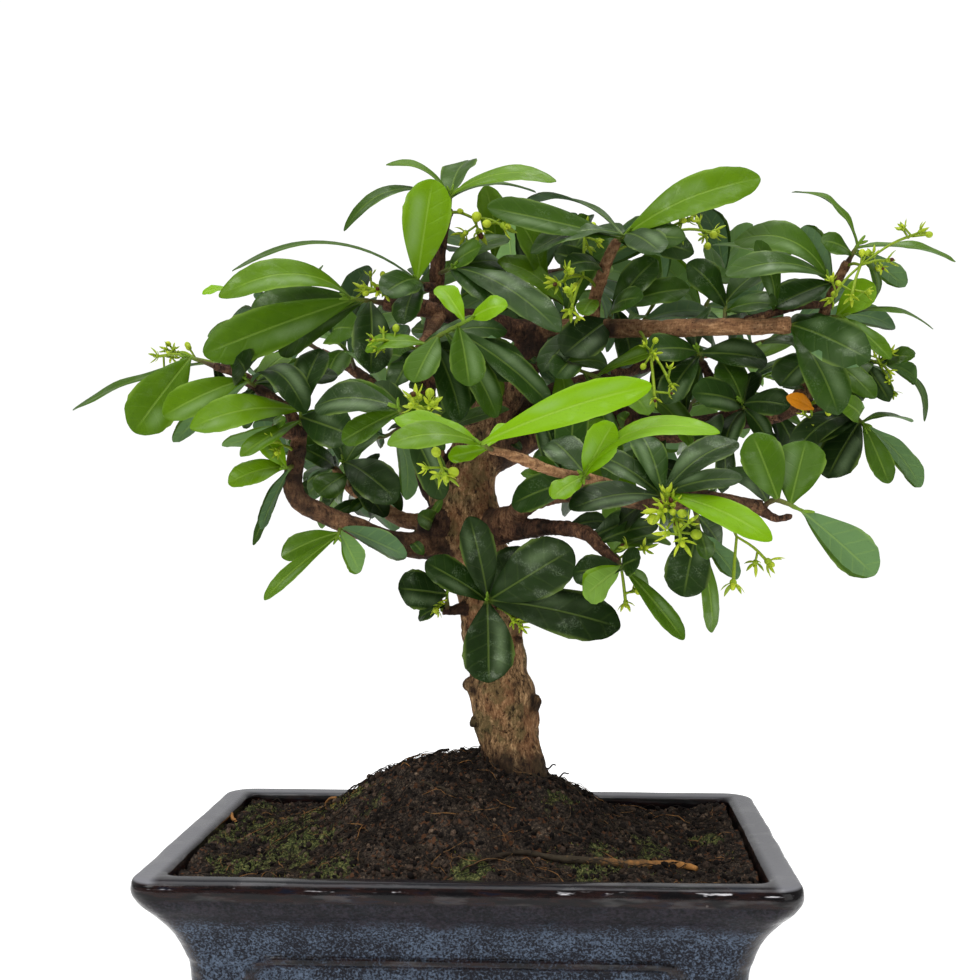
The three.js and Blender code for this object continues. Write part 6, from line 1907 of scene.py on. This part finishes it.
drain_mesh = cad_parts["drain_mesh"]
drain_mesh.data.materials.clear()
drain_mesh.data.materials.append(plastic_finish())


# Floor, light and camera


FLOOR_RADIUS = 900
FLOOR_DROP = 0.05


def white_floor():
    """A white floor, a level disc, lit from within so that it stays white under soft shadows"""
    angle = np.arange(96) * 2 * math.pi / 96
    round_once = np.stack([np.cos(angle), np.sin(angle)], axis=1)
    radii = (FLOOR_RADIUS, 0.5 * FLOOR_RADIUS, 200, 1)
    rings = [np.column_stack([r * round_once, np.full(96, -FLOOR_DROP)]) for r in radii]
    shape = Shape()
    shape.lay(np.array(rings), closed=False)
    mesh = shape.mesh("white_floor")
    floor = bpy.data.objects.new("white_floor", mesh)
    bpy.context.scene.collection.objects.link(floor)
    f = Finish("white_floor", Roughness=0.9, Emission_Strength=0.5)
    f.shader.inputs["Emission Color"].default_value = (1, 1, 1, 1)
    mesh.materials.append(f.surface(f.mix(f.grain(40, 2), tint(246, 246, 246), tint(250, 250, 250))))
    floor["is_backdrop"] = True


def soft_light(name, place, aim, size, power):
    """A square area light that looks at a point"""
    lamp = bpy.data.lights.new(name, "AREA")
    lamp.energy, lamp.size = power, size
    made = bpy.data.objects.new(name, lamp)
    made.location = place
    way = mathutils.Vector(aim) - mathutils.Vector(place)
    made.rotation_euler = way.to_track_quat("-Z", "Y").to_euler()
    bpy.context.scene.collection.objects.link(made)


def white_room(seen, given):
    """A world that is white to the eye and gives less light than it shows"""
    world = bpy.data.worlds.new("white_room")
    bpy.context.scene.world = world
    world.use_nodes = True
    nodes, links = world.node_tree.nodes, world.node_tree.links
    ray = nodes.new("ShaderNodeLightPath")
    share = nodes.new("ShaderNodeMapRange")
    share.inputs["To Min"].default_value = given
    share.inputs["To Max"].default_value = seen
    links.new(ray.outputs["Is Camera Ray"], share.inputs["Value"])
    links.new(share.outputs["Result"], nodes["Background"].inputs["Strength"])
    nodes["Background"].inputs["Color"].default_value = (1, 1, 1, 1)


white_floor()
white_room(1.05, 0.34)
soft_light("top", (0.05, -0.15, 1.35), (0, 0, 0.15), 1.5, 16)
soft_light("key", (-0.9, -1.1, 1.0), (0, 0, 0.2), 0.8, 11)
soft_light("fill", (1.1, -0.9, 0.5), (0, 0, 0.2), 0.8, 4)

lens = bpy.data.cameras.new("view")
lens.sensor_width = 36
lens.lens = VIEW_FOCAL / (2 * VIEW_MIDDLE) * 36
lens.clip_start, lens.clip_end = 0.01, 50
camera = bpy.data.objects.new("view", lens)
camera.location = EYE * MM + MIDDLE
camera.rotation_euler = (math.pi / 2 + VIEW_PITCH, 0, VIEW_TURN)
bpy.context.scene.collection.objects.link(camera)
bpy.context.scene.camera = camera
bpy.context.scene.view_settings.view_transform = "Standard"

{"cad": [list(c) for c in cad_box], "visual": [list(c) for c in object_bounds()]}
